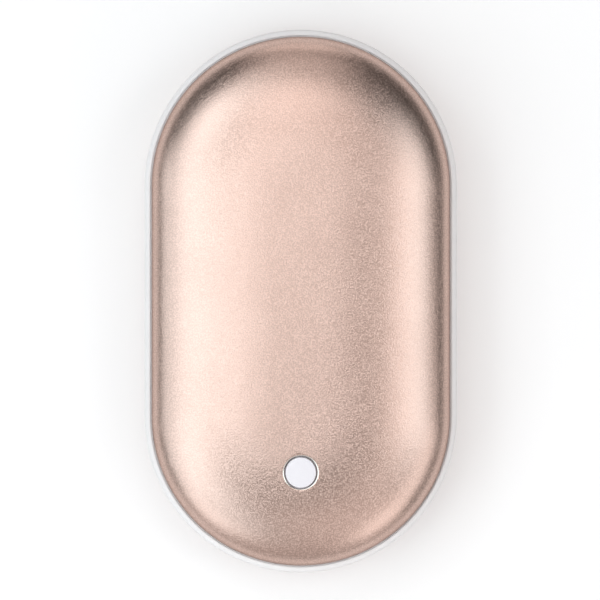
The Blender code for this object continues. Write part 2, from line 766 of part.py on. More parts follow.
def make_charging_socket():
    """The charging socket: a slanted sheet shell with its tongue."""
    half = CHARGING_WIDTH / 2
    place = (CHARGING_X, LAND_Y, SOCKET_BASE)
    piece(
        "charging_socket_shell",
        duct((-half, 0, 0), (half, CHARGING_DEPTH, CHARGING_HEIGHT), CHARGING_WALL, CHARGING_SLANT),
        "steel", place,
    )
    top = CHARGING_HEIGHT - CHARGING_WALL - SEAT
    inner = half - CHARGING_WALL - CHARGING_SLANT
    tongue = piece(
        "charging_socket_tongue",
        blocks((
            (-inner, CHARGING_DEPTH - CHARGING_BACK_DEPTH, CHARGING_WALL + SEAT),
            (inner, CHARGING_DEPTH, top),
        )),
        "black_plastic", place,
    )
    width = CHARGING_TONGUE_WIDTH / 2
    middle = CHARGING_HEIGHT / 2
    blade = blocks((
        (-width, CHARGING_BACK_DEPTH / 2, middle),
        (width, CHARGING_DEPTH - CHARGING_BACK_DEPTH / 2, middle + CHARGING_TONGUE_THICK),
    ))
    combine(tongue, "UNION", tool("charging_socket_blade", blade, place))


# Board and its components

def board_reach(along):
    """Half the board's width at a place along the case."""
    return math.sqrt(BOARD_RADIUS ** 2 - (along + SPINE) ** 2)


def board_place(shares):
    """A place on the board between the button and the bridge's legs."""
    return shares[0] * leg_places()[1][0], BUTTON_Y + shares[1] * BRIDGE_DEPTH


def corner_place(width, depth, along, side):
    """A place in the board's round corner, just inside its outline."""
    return side * (board_reach(along - depth / 2) - COMPONENT_INSET - width / 2), along


def make_board():
    """A board with a round end that follows the band, on two screws."""
    shape = bmesh.new()
    middle = (0, -SPINE)
    rod(shape, (*middle, BOARD_BASE), (*middle, BOARD_TOP), BOARD_RADIUS, 2 * TURN_STEPS)
    board = piece("main_board", shape, "board_green")
    keep = blocks((
        (-RADIUS, -LENGTH / 2, BOARD_BASE - JOIN), (RADIUS, BOARD_EDGE_Y, BOARD_TOP + JOIN)
    ))
    combine(board, "INTERSECT", tool("board_edge", keep))
    bars = [
        ((x, y, BOARD_BASE - JOIN), (x, y, BOARD_TOP + JOIN), PILOT_RADIUS)
        for x, y in board_screw_places() + leg_places()
    ]
    combine(board, "DIFFERENCE", tool("board_holes", rods(*bars, sides=SCREW_SIDES)))


def make_component(name, size, place, finish_name, under=False):
    """A plain component soldered on the board, or under it."""
    across, along, high = (side / 2 for side in size)
    x, y = place
    z = BOARD_BASE - SEAT - high if under else BOARD_TOP + SEAT + high
    piece(name, blocks(((-across, -along, -high), (across, along, high))), finish_name, (x, y, z))


def make_components():
    """Inductor behind the charging socket, chips, capacitors and two lamps by the switch."""
    half = INDUCTOR_SIDE / 2
    inductor = rounded_block((-half, -half, 0), (half, half, INDUCTOR_HEIGHT), INDUCTOR_ROUNDING, 2)
    along = LAND_Y + CHARGING_DEPTH + COMPONENT_GAP + half
    x, y = corner_place(INDUCTOR_SIDE, INDUCTOR_SIDE, along, 1)
    piece("boost_inductor", inductor, "ferrite", (x, y, BOARD_TOP + SEAT))
    width, depth = CONTROLLER_SIZE[:2]
    along = BUTTON_Y - BRIDGE_LEG_RADIUS - COMPONENT_GAP - depth / 2
    place = corner_place(width, depth, along, -1)
    make_component("controller_chip", CONTROLLER_SIZE, place, "chip_black")
    for name, size, shares, finish_name, under in (
        ("charger_chip", CHARGER_SIZE, CHARGER_PLACE_SHARES, "chip_black", True),
        ("heater_mosfet", MOSFET_SIZE, MOSFET_PLACE_SHARES, "chip_black", True),
        ("input_capacitor", CAPACITOR_SIZE, INPUT_CAPACITOR_PLACE_SHARES, "capacitor_tan", False),
        ("output_capacitor", CAPACITOR_SIZE, OUTPUT_CAPACITOR_PLACE_SHARES, "capacitor_tan", False),
    ):
        make_component(name, size, board_place(shares), finish_name, under)
    for name, side in (("status_led_left", -1), ("status_led_right", 1)):
        across, along, high = (side_length / 2 for side_length in LED_SIZE)
        lamp = blocks(((-across, -along, 0), (across, along, 2 * high)))
        piece(name, lamp, "led_lens", (side * LED_SPACING / 2, BUTTON_Y, BOARD_TOP + SEAT))


# Cells and what holds them

def cell_outline():
    """Section of a cell from its flat end to the nub at its other end."""
    length = CELL_END - CELL_START
    shoulder = length - NUB_HEIGHT
    rim = CELL_RADIUS - CELL_ROUNDING
    outline = [(0, 0)]
    outline += rounded_corner((rim, CELL_ROUNDING), CELL_ROUNDING, -QUARTER_TURN, 0)
    outline += rounded_corner((rim, shoulder - CELL_ROUNDING), CELL_ROUNDING, 0, QUARTER_TURN)
    return outline + [(NUB_RADIUS, shoulder), (NUB_RADIUS, length), (0, length)]


def make_cells():
    """Two cells side by side, a washer round each nub, and the strips across their ends."""
    along_case = (-QUARTER_TURN, 0, 0)
    shoulder = CELL_END - NUB_HEIGHT + SEAT
    rim = CELL_RADIUS - CELL_ROUNDING
    ring = washer(NUB_RADIUS + FIT, rim, 0, WASHER_THICK)
    for side, word in ((-1, "left"), (1, "right")):
        place = (side * CELL_X, CELL_START, MID)
        piece(f"cell_{word}", turned(cell_outline(), CELL_SIDES), "cell_sleeve", place, along_case)
        piece(
            f"cell_{word}_washer", turned(ring, closed=True), "washer_paper",
            (side * CELL_X, shoulder, MID), along_case,
        )
    low = MID - STRIP_HALF_HEIGHT
    ends = (
        ("positive_strip", CELL_END + SEAT, LEAD_LEVEL + BATTERY_LEAD_RADIUS),
        ("negative_strip", CELL_START - SEAT - STRIP_THICK, MID + STRIP_HALF_HEIGHT),
    )
    for name, start, top in ends:
        strip = blocks((
            (-STRIP_HALF_LENGTH, start, low), (STRIP_HALF_LENGTH, start + STRIP_THICK, top)
        ))
        piece(name, strip, "nickel")


def saddle_cutter(name):
    """The room for both cells, with their clearance."""
    start = CELL_START - OVERRUN
    end = CELL_END + OVERRUN
    bars = [
        ((side * CELL_X, start, MID), (side * CELL_X, end, MID), SADDLE_RADIUS) for side in (-1, 1)
    ]
    return tool(name, rods(*bars, sides=CELL_SIDES))


def make_cradle():
    """A tray that follows the rear shell under the cells, with four ears on the bosses."""
    top = BOSS_BASE - SEAT
    side = CELL_SIDE + CRADLE_WALL
    start = CELL_START + CRADLE_END_INSET
    end = CELL_END - CRADLE_END_INSET
    cradle = piece("cell_cradle", blocks(((-side, start, 0), (side, end, top))), "black_plastic")
    places = [place for place in boss_places() if place[1] != 0]
    combine(cradle, "UNION", tool("cradle_ears", ears(places, top - EAR_THICK, top, side)))
    combine(cradle, "INTERSECT", tool("cradle_room", cavity(CAVITY_DEPTH)))
    combine(cradle, "DIFFERENCE", saddle_cutter("cradle_saddles"))
    bars = [((x, y, 0), (x, y, top + JOIN), PILOT_RADIUS) for x, y in places]
    combine(cradle, "DIFFERENCE", tool("cradle_holes", rods(*bars, sides=SCREW_SIDES)))


def ears(places, base, top, side):
    """Screw ears that reach out from a side to the bosses."""
    half = EAR_WIDTH / 2
    corners = []
    for across, along in places:
        near, far = sorted((
            math.copysign(side - JOIN, across), math.copysign(LIP_INNER - FIT, across)
        ))
        corners.append(((near, along - half, base), (far, along + half, top)))
    return blocks(*corners)


def make_strap():
    """A rib over both cells, with a gap in its ridge for the battery lead."""
    base = BOSS_TOP + SEAT
    half = STRAP_WIDTH / 2
    side = CELL_SIDE + CRADLE_WALL
    rib = blocks(((-side, -half, base), (side, half, HEIGHT)))
    strap = piece("cell_strap", rib, "black_plastic")
    places = [place for place in boss_places() if place[1] == 0]
    combine(strap, "UNION", tool("strap_ears", ears(places, base, base + EAR_THICK, side)))
    combine(strap, "INTERSECT", tool("strap_room", cavity(CAVITY_DEPTH)))
    combine(strap, "DIFFERENCE", saddle_cutter("strap_saddles"))
    groove = blocks((
        (-BATTERY_LEAD_RADIUS * 4, -STRAP_WIDTH, MID),
        (BATTERY_LEAD_RADIUS * 4, STRAP_WIDTH, LEAD_LEVEL + BATTERY_LEAD_RADIUS * 2),
    ))
    combine(strap, "DIFFERENCE", tool("strap_groove", groove))
    bars = [((x, y, base - JOIN), (x, y, HEIGHT), PILOT_RADIUS) for x, y in places]
    combine(strap, "DIFFERENCE", tool("strap_holes", rods(*bars, sides=SCREW_SIDES)))


# Heaters and foam

def make_heaters():
    """A film heater behind each shell, kept clear of the board's end."""
    start = CELL_START - FILM_START_ROOM
    for name, side in (("heater_film_front", FRONT), ("heater_film_rear", REAR)):
        film = piece(name, layer(FILM_OUTER, FILM_INNER, side, FILM_HALF_WIDTH), "heater_film")
        keep = blocks(((-RADIUS, start, 0), (RADIUS, LENGTH / 2, HEIGHT)))
        combine(film, "INTERSECT", tool(f"{name}_length", keep))


def make_foam():
    """Two foam pads between the front film and the cells, either side of the strap."""
    clear = STRAP_WIDTH / 2 + FOAM_STRAP_ROOM
    for name, start, end in (
        ("foam_pad_upper", clear, LENGTH / 2),
        ("foam_pad_lower", CELL_START + CRADLE_END_INSET, -clear),
    ):
        shape = layer(CAVITY_DEPTH, CAVITY_DEPTH + FOAM_THICK, FRONT, FOAM_HALF_WIDTH)
        pad = piece(name, shape, "foam")
        keep = blocks(((-RADIUS, start, MID), (RADIUS, end, HEIGHT)))
        combine(pad, "INTERSECT", tool(f"{name}_length", keep))


# Leads

def along_route(route):
    """Even points on a smooth curve through a route."""
    knots = [Vector(point) for point in route]
    knots = [2 * knots[0] - knots[1]] + knots + [2 * knots[-1] - knots[-2]]
    points = [knots[1]]
    for before, start, end, after in zip(knots, knots[1:], knots[2:], knots[3:]):
        count = max(1, round((end - start).length / LEAD_STEP))
        for step in range(1, count + 1):
            share = step / count
            points.append(between(before, start, end, after, share))
    return points


def between(before, start, end, after, share):
    """A point on the smooth curve from start to end."""
    bend = 2 * before - 5 * start + 4 * end - after
    turn = 3 * (start - end) + after - before
    return start + share * (end - before + share * (bend + share * turn)) / 2


def make_lead(name, route, radius, finish_name, bead_radius=0):
    """A round lead along a route. A bead, where it has one, swells its first points."""
    curve = bpy.data.curves.new(name, "CURVE")
    curve.dimensions = "3D"
    curve.bevel_depth = radius
    curve.bevel_resolution = 2
    curve.use_fill_caps = True
    curve.materials.append(finish(finish_name))
    spots = along_route(route)
    line = curve.splines.new("POLY")
    line.points.add(len(spots) - 1)
    swell = [bead_radius / radius / 2, bead_radius / radius, bead_radius / radius, 1]
    for number, (point, spot) in enumerate(zip(line.points, spots)):
        point.co = (*spot, 1)
        point.radius = swell[number] if bead_radius and number < len(swell) else 1
    made = bpy.data.objects.new(name, curve)
    bpy.context.scene.collection.objects.link(made)


def make_battery_leads():
    """Red from the far strip along the groove between the cells, black from the near strip."""
    radius = BATTERY_LEAD_RADIUS
    pad = BOARD_TOP + SEAT + radius
    x = BATTERY_LEAD_OFFSET
    edge = BOARD_EDGE_Y
    strip = CELL_START - SEAT - STRIP_THICK - SEAT
    drop = edge - 3 * radius
    landing = edge - 4 * radius
    make_lead("battery_lead_red", [
        (0, CELL_END - radius, LEAD_LEVEL), (0, 0, LEAD_LEVEL),
        (0, CELL_START + radius, LEAD_LEVEL), (radius, strip - radius, LEAD_LEVEL),
        (x, drop, (MID + pad) / 2), (x, landing, pad), (x, landing - 2 * radius, pad),
    ], radius, "red_wire")
    make_lead("battery_lead_black", [
        (-x, strip - radius, MID), (-x, strip - 2 * radius, MID - radius),
        (-x, landing, pad), (-x, landing - 2 * radius, pad),
    ], radius, "black_wire")


def make_heater_leads():
    """Two leads from each film's near edge to the board, front ones on top, rear ones below."""
    radius = HEATER_LEAD_RADIUS
    start = CELL_START - FILM_START_ROOM - SEAT - radius
    turn = BOARD_EDGE_Y + radius
    landing = BOARD_EDGE_Y - 4 * radius
    for number in range(2):
        x = HEATER_LEAD_OFFSET + number * HEATER_LEAD_PITCH
        level = crown_height(math.hypot(x, start + SPINE)) - (FILM_OUTER + FILM_INNER) / 2
        top_pad = BOARD_TOP + SEAT + radius
        low_pad = BOARD_BASE - SEAT - radius
        make_lead(f"heater_lead_front_{number + 1}", [
            (x, start, level), (x, turn, level - 2 * radius), (x, turn - radius, MID),
            (x, landing, top_pad), (x, landing - 2 * radius, top_pad),
        ], radius, "white_wire")
        make_lead(f"heater_lead_rear_{number + 1}", [
            (-x, start, HEIGHT - level), (-x, turn, HEIGHT - level + 2 * radius),
            (-x, turn - 2 * radius, (HEIGHT - level + low_pad) / 2),
            (-x, landing, low_pad), (-x, landing - 2 * radius, low_pad),
        ], radius, "white_wire")


def make_thermistor():
    """A bead on its own lead, lying over the battery lead between the cells."""
    radius = SENSOR_LEAD_RADIUS
    level = LEAD_LEVEL + BATTERY_LEAD_RADIUS + SEAT + BEAD_RADIUS
    x = -BEAD_RADIUS * 2
    pad = BOARD_TOP + SEAT + radius
    edge = BOARD_EDGE_Y
    make_lead("thermistor", [
        (0, -BEAD_FROM_MIDDLE, level), (0, CELL_START + BEAD_RADIUS, level),
        (x / 2, edge + BEAD_RADIUS, level - BEAD_RADIUS), (x, edge, MID),
        (x, edge - 3 * radius, pad), (x, edge - 5 * radius, pad),
    ], radius, "sensor_lead", BEAD_RADIUS)


# Screws

def screw_mesh(length):
    """A pan-head screw with its head above the origin and its shank below."""
    head = [(0, HEAD_HEIGHT)]
    corner = (HEAD_RADIUS - HEAD_ROUNDING, HEAD_HEIGHT - HEAD_ROUNDING)
    head += rounded_corner(corner, HEAD_ROUNDING, QUARTER_TURN, 0)
    head += [(HEAD_RADIUS, 0), (SCREW_RADIUS, 0), (SCREW_RADIUS, -length), (0, -length)]
    shape = turned(head, SCREW_SIDES)
    mesh = bpy.data.meshes.new("screw")
    shape.to_mesh(mesh)
    shape.free()
    return mesh


def make_screws():
    """Screws up into the cradle's bosses, down into the strap's and the board's, and up
    through the board into the bridge's legs."""
    down = (0, 0, 0)
    up = (HALF_TURN, 0, 0)
    long_mesh = screw_mesh(SCREW_LENGTH)
    short_mesh = screw_mesh(BOARD_SCREW_LENGTH)
    cradle_level = BOSS_BASE - SEAT - EAR_THICK - SEAT
    strap_level = BOSS_TOP + SEAT + EAR_THICK + SEAT
    cradle = [place for place in boss_places() if place[1] != 0]
    strap = [place for place in boss_places() if place[1] == 0]
    groups = [
        ("cradle_screw", cradle, cradle_level, up, long_mesh),
        ("strap_screw", strap, strap_level, down, long_mesh),
        ("board_screw", board_screw_places(), BOARD_TOP + SEAT, down, short_mesh),
        ("bridge_screw", leg_places(), BOARD_BASE - SEAT, up, long_mesh),
    ]
    for name, places, level, turn, mesh in groups:
        for number, (x, y) in enumerate(places):
            copy_of(mesh, f"{name}_{number + 1}", "steel", (x, y, level), turn)


make_shells()
make_seals()
make_mid_frame()
make_button()
make_bridge()
make_switch()
make_output_socket()
make_charging_socket()
make_board()
make_components()
make_cells()
make_cradle()
make_strap()
make_heaters()
make_foam()
make_battery_leads()
make_heater_leads()
make_thermistor()
make_screws()
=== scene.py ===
# %% [markdown]
# # Rechargeable hand warmer
#
# A pebble of satin rose aluminium: two drawn shells close on a white plastic band, and one
# white button sits in the front shell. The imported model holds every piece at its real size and
# place. Here the outer pieces get fine surfaces and every piece gets its finish. Lengths are in
# metres. X runs across the case, Y along it away from the sockets, and Z out of the front face.

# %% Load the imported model
import math

import bmesh
import bpy
from mathutils import Matrix, Vector


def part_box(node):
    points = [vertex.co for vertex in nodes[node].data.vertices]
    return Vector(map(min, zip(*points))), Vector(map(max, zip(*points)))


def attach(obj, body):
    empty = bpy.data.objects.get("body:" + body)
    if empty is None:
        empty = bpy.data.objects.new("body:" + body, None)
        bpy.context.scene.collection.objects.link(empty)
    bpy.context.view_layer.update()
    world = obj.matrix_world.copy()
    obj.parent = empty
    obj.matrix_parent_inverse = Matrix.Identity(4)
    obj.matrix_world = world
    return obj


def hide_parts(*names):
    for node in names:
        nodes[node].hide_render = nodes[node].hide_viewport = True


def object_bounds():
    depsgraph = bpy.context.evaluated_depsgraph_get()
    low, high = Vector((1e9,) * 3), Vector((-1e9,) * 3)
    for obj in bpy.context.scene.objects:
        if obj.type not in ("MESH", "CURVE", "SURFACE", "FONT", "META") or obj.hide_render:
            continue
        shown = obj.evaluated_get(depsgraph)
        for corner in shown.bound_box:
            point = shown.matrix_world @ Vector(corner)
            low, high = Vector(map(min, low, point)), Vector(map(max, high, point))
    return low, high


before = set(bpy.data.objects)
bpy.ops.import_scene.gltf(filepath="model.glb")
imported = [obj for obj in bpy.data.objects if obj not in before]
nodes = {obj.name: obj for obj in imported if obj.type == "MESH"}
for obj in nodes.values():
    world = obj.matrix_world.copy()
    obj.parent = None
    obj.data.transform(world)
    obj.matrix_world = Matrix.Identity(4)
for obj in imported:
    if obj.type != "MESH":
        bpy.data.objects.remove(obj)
cad_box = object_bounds()
print(len(nodes), "nodes in a box from", cad_box[0], "to", cad_box[1])

# %% [markdown]
# The case is a stadium: two half circles joined by straight sides. Everything on it keeps a
# distance from a straight spine along Y, so two numbers from the frame fix the whole outline:
# the radius and the half length of the spine. The other sizes are read from the nodes too,
# because a piece that stands for a node has to fill the same space.

# %% Sizes of the case
MM = 0.001
HALF_TURN = math.pi
QUARTER_TURN = math.pi / 2

whole_low, whole_high = cad_box
shell_low, shell_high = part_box("front_shell")
seal_low, seal_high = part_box("front_seal")
RADIUS = whole_high.x
SPINE = whole_high.y - RADIUS
MID = whole_high.z / 2
EDGE_RADIUS = shell_high.x
EDGE_LEVEL = shell_low.z - MID
BAND_HALF = seal_low.z - MID
SEAL_RADIUS = seal_high.x
SHELL_WALL = 0.8 * MM
CROWN_FLAT = 4 * MM
CROWN_SPREAD_POWER = 2.5
CROWN_FALL_POWER = 2.2
CROWN_REACH = EDGE_RADIUS - CROWN_FLAT
CROWN_RISE = MID - EDGE_LEVEL
FRONT, REAR = 1, -1
print(f"radius {RADIUS / MM:.2f} mm, spine {SPINE / MM:.2f} mm, shell edge {EDGE_RADIUS / MM:.2f} mm")

# %% [markdown]
# ## Turning profiles into pieces
#
# Each outer piece has one section that runs all the way round the case. Blender could extrude
# it along a curve, but a spin is exact: the section is spun half a turn about one end of the
# spine, its last copy is extruded straight along the case, and the same is done at the other
# end. Spin and extrude leave double points where the runs meet, so these are merged, and the
# faces are then turned outwards.

# %% Helpers for wires, spins and runs
MERGE = 0.001 * MM
TURN_STEPS = 96
SIDES = 96
CORNERS = ((-1, -1), (-1, 1), (1, -1), (1, 1))


def profile_wire(shape, outline, along, closed):
    """Draw distances and heights as a wire beside the spin's axis."""
    points = [shape.verts.new((distance, along, height)) for distance, height in outline]
    pairs = list(zip(points, points[1:]))
    if closed:
        pairs.append((points[-1], points[0]))
    return points + [shape.edges.new(pair) for pair in pairs]


def tidy_up(shape):
    """Merge the points that meet and face the skin outwards."""
    bmesh.ops.remove_doubles(shape, verts=shape.verts, dist=MERGE)
    bmesh.ops.recalc_face_normals(shape, faces=shape.faces)
    return shape


def racetrack(outline, closed=False):
    """Sweep distances from the spine and heights once round the case."""
    shape = bmesh.new()
    front = profile_wire(shape, outline, SPINE, closed)
    for end in (1, -1):
        turn = bmesh.ops.spin(
            shape, geom=front, cent=(0, end * SPINE, 0), axis=(0, 0, 1), angle=HALF_TURN,
            steps=TURN_STEPS,
        )["geom_last"]
        edges = [part for part in turn if isinstance(part, bmesh.types.BMEdge)]
        run = bmesh.ops.extrude_edge_only(shape, edges=edges)["geom"]
        points = [part for part in run if isinstance(part, bmesh.types.BMVert)]
        bmesh.ops.translate(shape, verts=points, vec=(0, -2 * end * SPINE, 0))
        front = [part for part in run if not isinstance(part, bmesh.types.BMFace)]
    return tidy_up(shape)


def turned(outline, closed=False, sides=SIDES):
    """Turn distances and heights once round the Z axis."""
    shape = bmesh.new()
    wire = profile_wire(shape, outline, 0, closed)
    bmesh.ops.spin(
        shape, geom=wire, cent=(0, 0, 0), axis=(0, 0, 1), angle=2 * HALF_TURN, steps=sides,
        use_merge=True,
    )
    return tidy_up(shape)


def arc(centre, radius, start, end, steps=6):
    """Points of a rounding in a section, between two angles."""
    angles = [start + (end - start) * step / steps for step in range(steps + 1)]
    return [(centre[0] + radius * math.cos(a), centre[1] + radius * math.sin(a)) for a in angles]


def ball(shape, spot, radius, squash=(1, 1, 1), around=24):
    """Add a ball at a spot, squashed along its axes."""
    place = Matrix.Translation(spot) @ Matrix.Diagonal((*squash, 1))
    bmesh.ops.create_uvsphere(shape, u_segments=around, v_segments=12, radius=radius, matrix=place)


def box(shape, corner, opposite):
    """Add a box between two opposite corners, and return its points."""
    made = bmesh.ops.create_cube(shape, size=1)["verts"]
    corner, opposite = Vector(corner), Vector(opposite)
    sides = [abs(side) for side in opposite - corner]
    place = Matrix.Translation((corner + opposite) / 2) @ Matrix.Diagonal((*sides, 1))
    bmesh.ops.transform(shape, matrix=place, verts=made)
    return made


def round_off(shape, edges, offset, segments):
    """Round some edges of a shape, or cut them to a slant with one segment."""
    bmesh.ops.bevel(
        shape, geom=edges, offset=offset, segments=segments, profile=0.5, affect="EDGES",
        material=-1,
    )


def rounded_box(low, high, rounding, axes, segments=4):
    """A box whose edges along the given axes are rounded."""
    shape = bmesh.new()
    box(shape, low, high)
    for axis in axes:
        round_off(shape, [edge for edge in shape.edges if runs_along(edge, axis)], rounding, segments)
    return shape


def runs_along(edge, axis):
    """Whether an edge is parallel to an axis."""
    run = edge.verts[1].co - edge.verts[0].co
    return abs(run[axis]) > MERGE and run.length - abs(run[axis]) < MERGE


def rod(shape, start, end, radius, sides=SIDES):
    """Add a round bar between two points."""
    start = Vector(start)
    run = Vector(end) - start
    made = bmesh.ops.create_cone(
        shape, cap_ends=True, segments=sides, radius1=radius, radius2=radius, depth=run.length
    )["verts"]
    aim = run.to_track_quat("Z", "Y").to_matrix().to_4x4()
    bmesh.ops.transform(shape, verts=made, matrix=Matrix.Translation(start + run / 2) @ aim)


def add_shape(shape, other):
    """Add another shape to a shape as it is, and free it."""
    mesh = bpy.data.meshes.new("part")
    other.to_mesh(mesh)
    other.free()
    shape.from_mesh(mesh)
    bpy.data.meshes.remove(mesh)


# %% [markdown]
# A finished piece is a mesh with its place already in its points, so its object stays at the
# origin. Each one rides on a body of the frame, and the nodes that it stands for are hidden.
# Edges sharper than about 35 degrees stay crisp, the rest is smooth.

# %% Helpers that make and cut pieces
SHARP = math.radians(35)


def add_piece(name, shape, material, body, replaced):
    """Make a shape a finished piece that rides on a body and stands for nodes."""
    mesh = bpy.data.meshes.new(name)
    shape.to_mesh(mesh)
    shape.free()
    mesh.materials.append(material)
    mesh.shade_smooth()
    mesh.set_sharp_from_angle(angle=SHARP)
    made = bpy.data.objects.new(name, mesh)
    bpy.context.scene.collection.objects.link(made)
    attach(made, body)
    if replaced:
        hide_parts(*replaced)
    print(f"{name}: {len(mesh.polygons)} faces on {body}")
    return made


def combined(shape, operation, other):
    """Cut or join two shapes with Blender's exact solver, and return the new shape."""
    parts = []
    for part in (shape, other):
        mesh = bpy.data.meshes.new("part")
        part.to_mesh(mesh)
        part.free()
        parts.append(bpy.data.objects.new("part", mesh))
        bpy.context.scene.collection.objects.link(parts[-1])
    step = parts[0].modifiers.new("step", "BOOLEAN")
    step.operation = operation
    step.solver = "EXACT"
    step.object = parts[1]
    graph = bpy.context.evaluated_depsgraph_get()
    result = bmesh.new()
    result.from_object(parts[0], graph)
    for part in parts:
        bpy.data.meshes.remove(part.data)
    bmesh.ops.remove_doubles(result, verts=result.verts, dist=MERGE)
    return result


# %% [markdown]
# ## A small language for shader maths
#
# Procedural materials are sums and products of noise. Wiring Math nodes by hand hides that, so
# a class wraps one output socket and lets Python's own operators add the Math nodes. Colours
# go through Mix nodes, because a Math node would turn them grey. Every other node comes from
# one method that sets the node's settings first and its sockets after.

# %% The Signal and Finish classes


class Signal:
    """One output socket, on which + - * % < > and abs() add Math nodes."""

    def __init__(self, owner, socket):
        self.owner = owner
        self.socket = socket

    def maths(self, operation, first, second=0.0):
        return self.owner.node("ShaderNodeMath", {"operation": operation}, {0: first, 1: second})

    def __add__(self, other):
        return self.maths("ADD", self, other)

    def __sub__(self, other):
        return self.maths("SUBTRACT", self, other)

    def __rsub__(self, other):
        return self.maths("SUBTRACT", other, self)

    def __mul__(self, other):
        return self.maths("MULTIPLY", self, other)

    def __mod__(self, other):
        return self.maths("MODULO", self, other)

    def __rmod__(self, other):
        return self.maths("MODULO", other, self)

    def __lt__(self, other):
        return self.maths("LESS_THAN", self, other)

    def __gt__(self, other):
        return self.maths("GREATER_THAN", self, other)

    def __abs__(self):
        return self.maths("ABSOLUTE", self)

    __radd__ = __add__
    __rmul__ = __mul__


class Finish:
    """One material, built on its Principled shader."""

    def __init__(self, name, **constants):
        self.material = bpy.data.materials.new(name)
        self.material.use_nodes = True
        self.tree = self.material.node_tree
        self.shader = self.tree.nodes["Principled BSDF"]
        for title, value in constants.items():
            self.set(title.replace("_", " ").title().replace("Ior", "IOR"), value)
        self.place = self.node("ShaderNodeTexCoord", {}, {}, "Object")

    def node(self, kind, settings, sockets, output=0):
        """Add a node: its settings first, then the values or links of its sockets."""
        made = self.tree.nodes.new(kind)
        for title, value in settings.items():
            if title == "stops":
                self.colour_stops(made.color_ramp, value)
            else:
                setattr(made, title, value)
        for title, value in sockets.items():
            self.feed(made.inputs[title], value)
        return Signal(self, made.outputs[output])

    def colour_stops(self, ramp, stops):
        """Set a ramp's stops from pairs of place and grey level."""
        while len(ramp.elements) < len(stops):
            ramp.elements.new(1)
        for element, (place, level) in zip(ramp.elements, stops):
            element.position = place
            element.color = (level, level, level, 1)

    def feed(self, socket, value):
        """Link a signal to a socket, or set a constant on it."""
        if isinstance(value, Signal):
            self.tree.links.new(value.socket, socket)
        elif socket.type == "RGBA":
            socket.default_value = (*value, 1)
        else:
            socket.default_value = value

    def set(self, title, value):
        """Feed one of the shader's own sockets."""
        self.feed(self.shader.inputs[title], value)

    def noise(self, size, detail=2, roughness=0.5, stretch=(1, 1, 1)):
        """Noise whose grains are about one size across, from 0 to 1."""
        place = self.place
        if stretch != (1, 1, 1):
            place = self.node("ShaderNodeMapping", {}, {"Vector": self.place, "Scale": stretch})
        return self.node(
            "ShaderNodeTexNoise", {},
            {"Vector": place, "Scale": 1 / size, "Detail": detail, "Roughness": roughness},
        )

    def ramp(self, signal, stops):
        """Send a signal through stops of grey."""
        return self.node("ShaderNodeValToRGB", {"stops": stops}, {"Fac": signal}, "Color")

    def blend(self, share, first, second):
        """Mix two colours by a share."""
        return self.node(
            "ShaderNodeMix", {"data_type": "RGBA"}, {"Factor": share, 6: first, 7: second}, 2
        )

    def cells(self, size, feature, distance="EUCLIDEAN"):
        """Distances to the middles of cells that are about one size across."""
        return self.node(
            "ShaderNodeTexVoronoi", {"feature": feature, "distance": distance},
            {"Vector": self.place, "Scale": 1 / size}, "Distance",
        )

    def axis(self, letter):
        """One coordinate of the place, in metres."""
        return self.node("ShaderNodeSeparateXYZ", {}, {0: self.place}, letter)

    def paint(self, share, first, second, roughness):
        """Mix two colours by a share, and set how rough the surface is."""
        self.set("Base Color", self.blend(share, first, second))
        self.set("Roughness", roughness)

    def bump(self, height, depth):
        """Feed the shader's normal from a height that spans a real depth."""
        self.set("Normal", self.node("ShaderNodeBump", {}, {"Height": height, "Distance": depth}))


# %% [markdown]
# ## Satin rose aluminium
#
# The shells are blasted with fine beads, anodised and dyed. Blasting leaves dimples about a
# quarter of a millimetre across, which break a highlight into a fine grain. A grain that only
# changed the colour would be as strong in the highlights as in the darker parts, and on the real
# shell it fades in the light. So the bright grains are also the rough ones: beside a highlight
# they catch its light, and within it they lose some. The dye tints what the metal reflects, and
# the clear oxide over it, a thin coat, adds a little white. A broad, faint mottle keeps the
# colour from being quite even.

# %% Finish of the shells
ROSE = (0.78, 0.572, 0.494)
ROSE_DEEP = (0.465, 0.312, 0.256)
# The edge tint is a painted shade: it darkens what the metal reflects at grazing angles, so the
# shells' steep edges render dark.
ROSE_EDGE_SHADE = (0.12, 0.06, 0.045)
BEAD_SIZE = 0.28 * MM
BEAD_DEPTH = 0.03 * MM
MOTTLE_SIZE = 9 * MM

shell_metal = Finish(
    "rose_aluminium", metallic=1.0, coat_weight=0.6, coat_roughness=0.3, coat_ior=1.5,
    specular_tint=ROSE_EDGE_SHADE,
)
dimples = shell_metal.noise(BEAD_SIZE, detail=1)
mottle = shell_metal.noise(MOTTLE_SIZE, detail=1)
specks = shell_metal.ramp(dimples, [(0.4, 0.0), (0.68, 1.0)])
tint = mottle * 0.2 + specks * 0.65 + 0.17
shell_metal.paint(tint, ROSE_DEEP, ROSE, 0.28 + specks * 0.15)
shell_metal.bump(dimples, BEAD_DEPTH)
print("grain of the shells:", BEAD_SIZE / MM, "mm")

# %% [markdown]
# ## The two shells
#
# A drawn shell is one even sheet. Its section is a superellipse: flat over the spine, falling
# faster and faster, and upright at its cut edge. The inner skin lies one wall below, measured
# square to the outer one. The cut edge is eased by a tenth of a millimetre, which catches the
# thin line of light along the rim.

# %% Section of a shell
SKIN_STEPS = 72
EDGE_EASE = 0.12 * MM


def crown_height(distance):
    """Height of the front shell's outer skin at a distance from the spine."""
    out = max(distance - CROWN_FLAT, 0) / CROWN_REACH
    rise = (1 - out ** CROWN_SPREAD_POWER) ** (1 / CROWN_FALL_POWER)
    return MID + EDGE_LEVEL + CROWN_RISE * rise


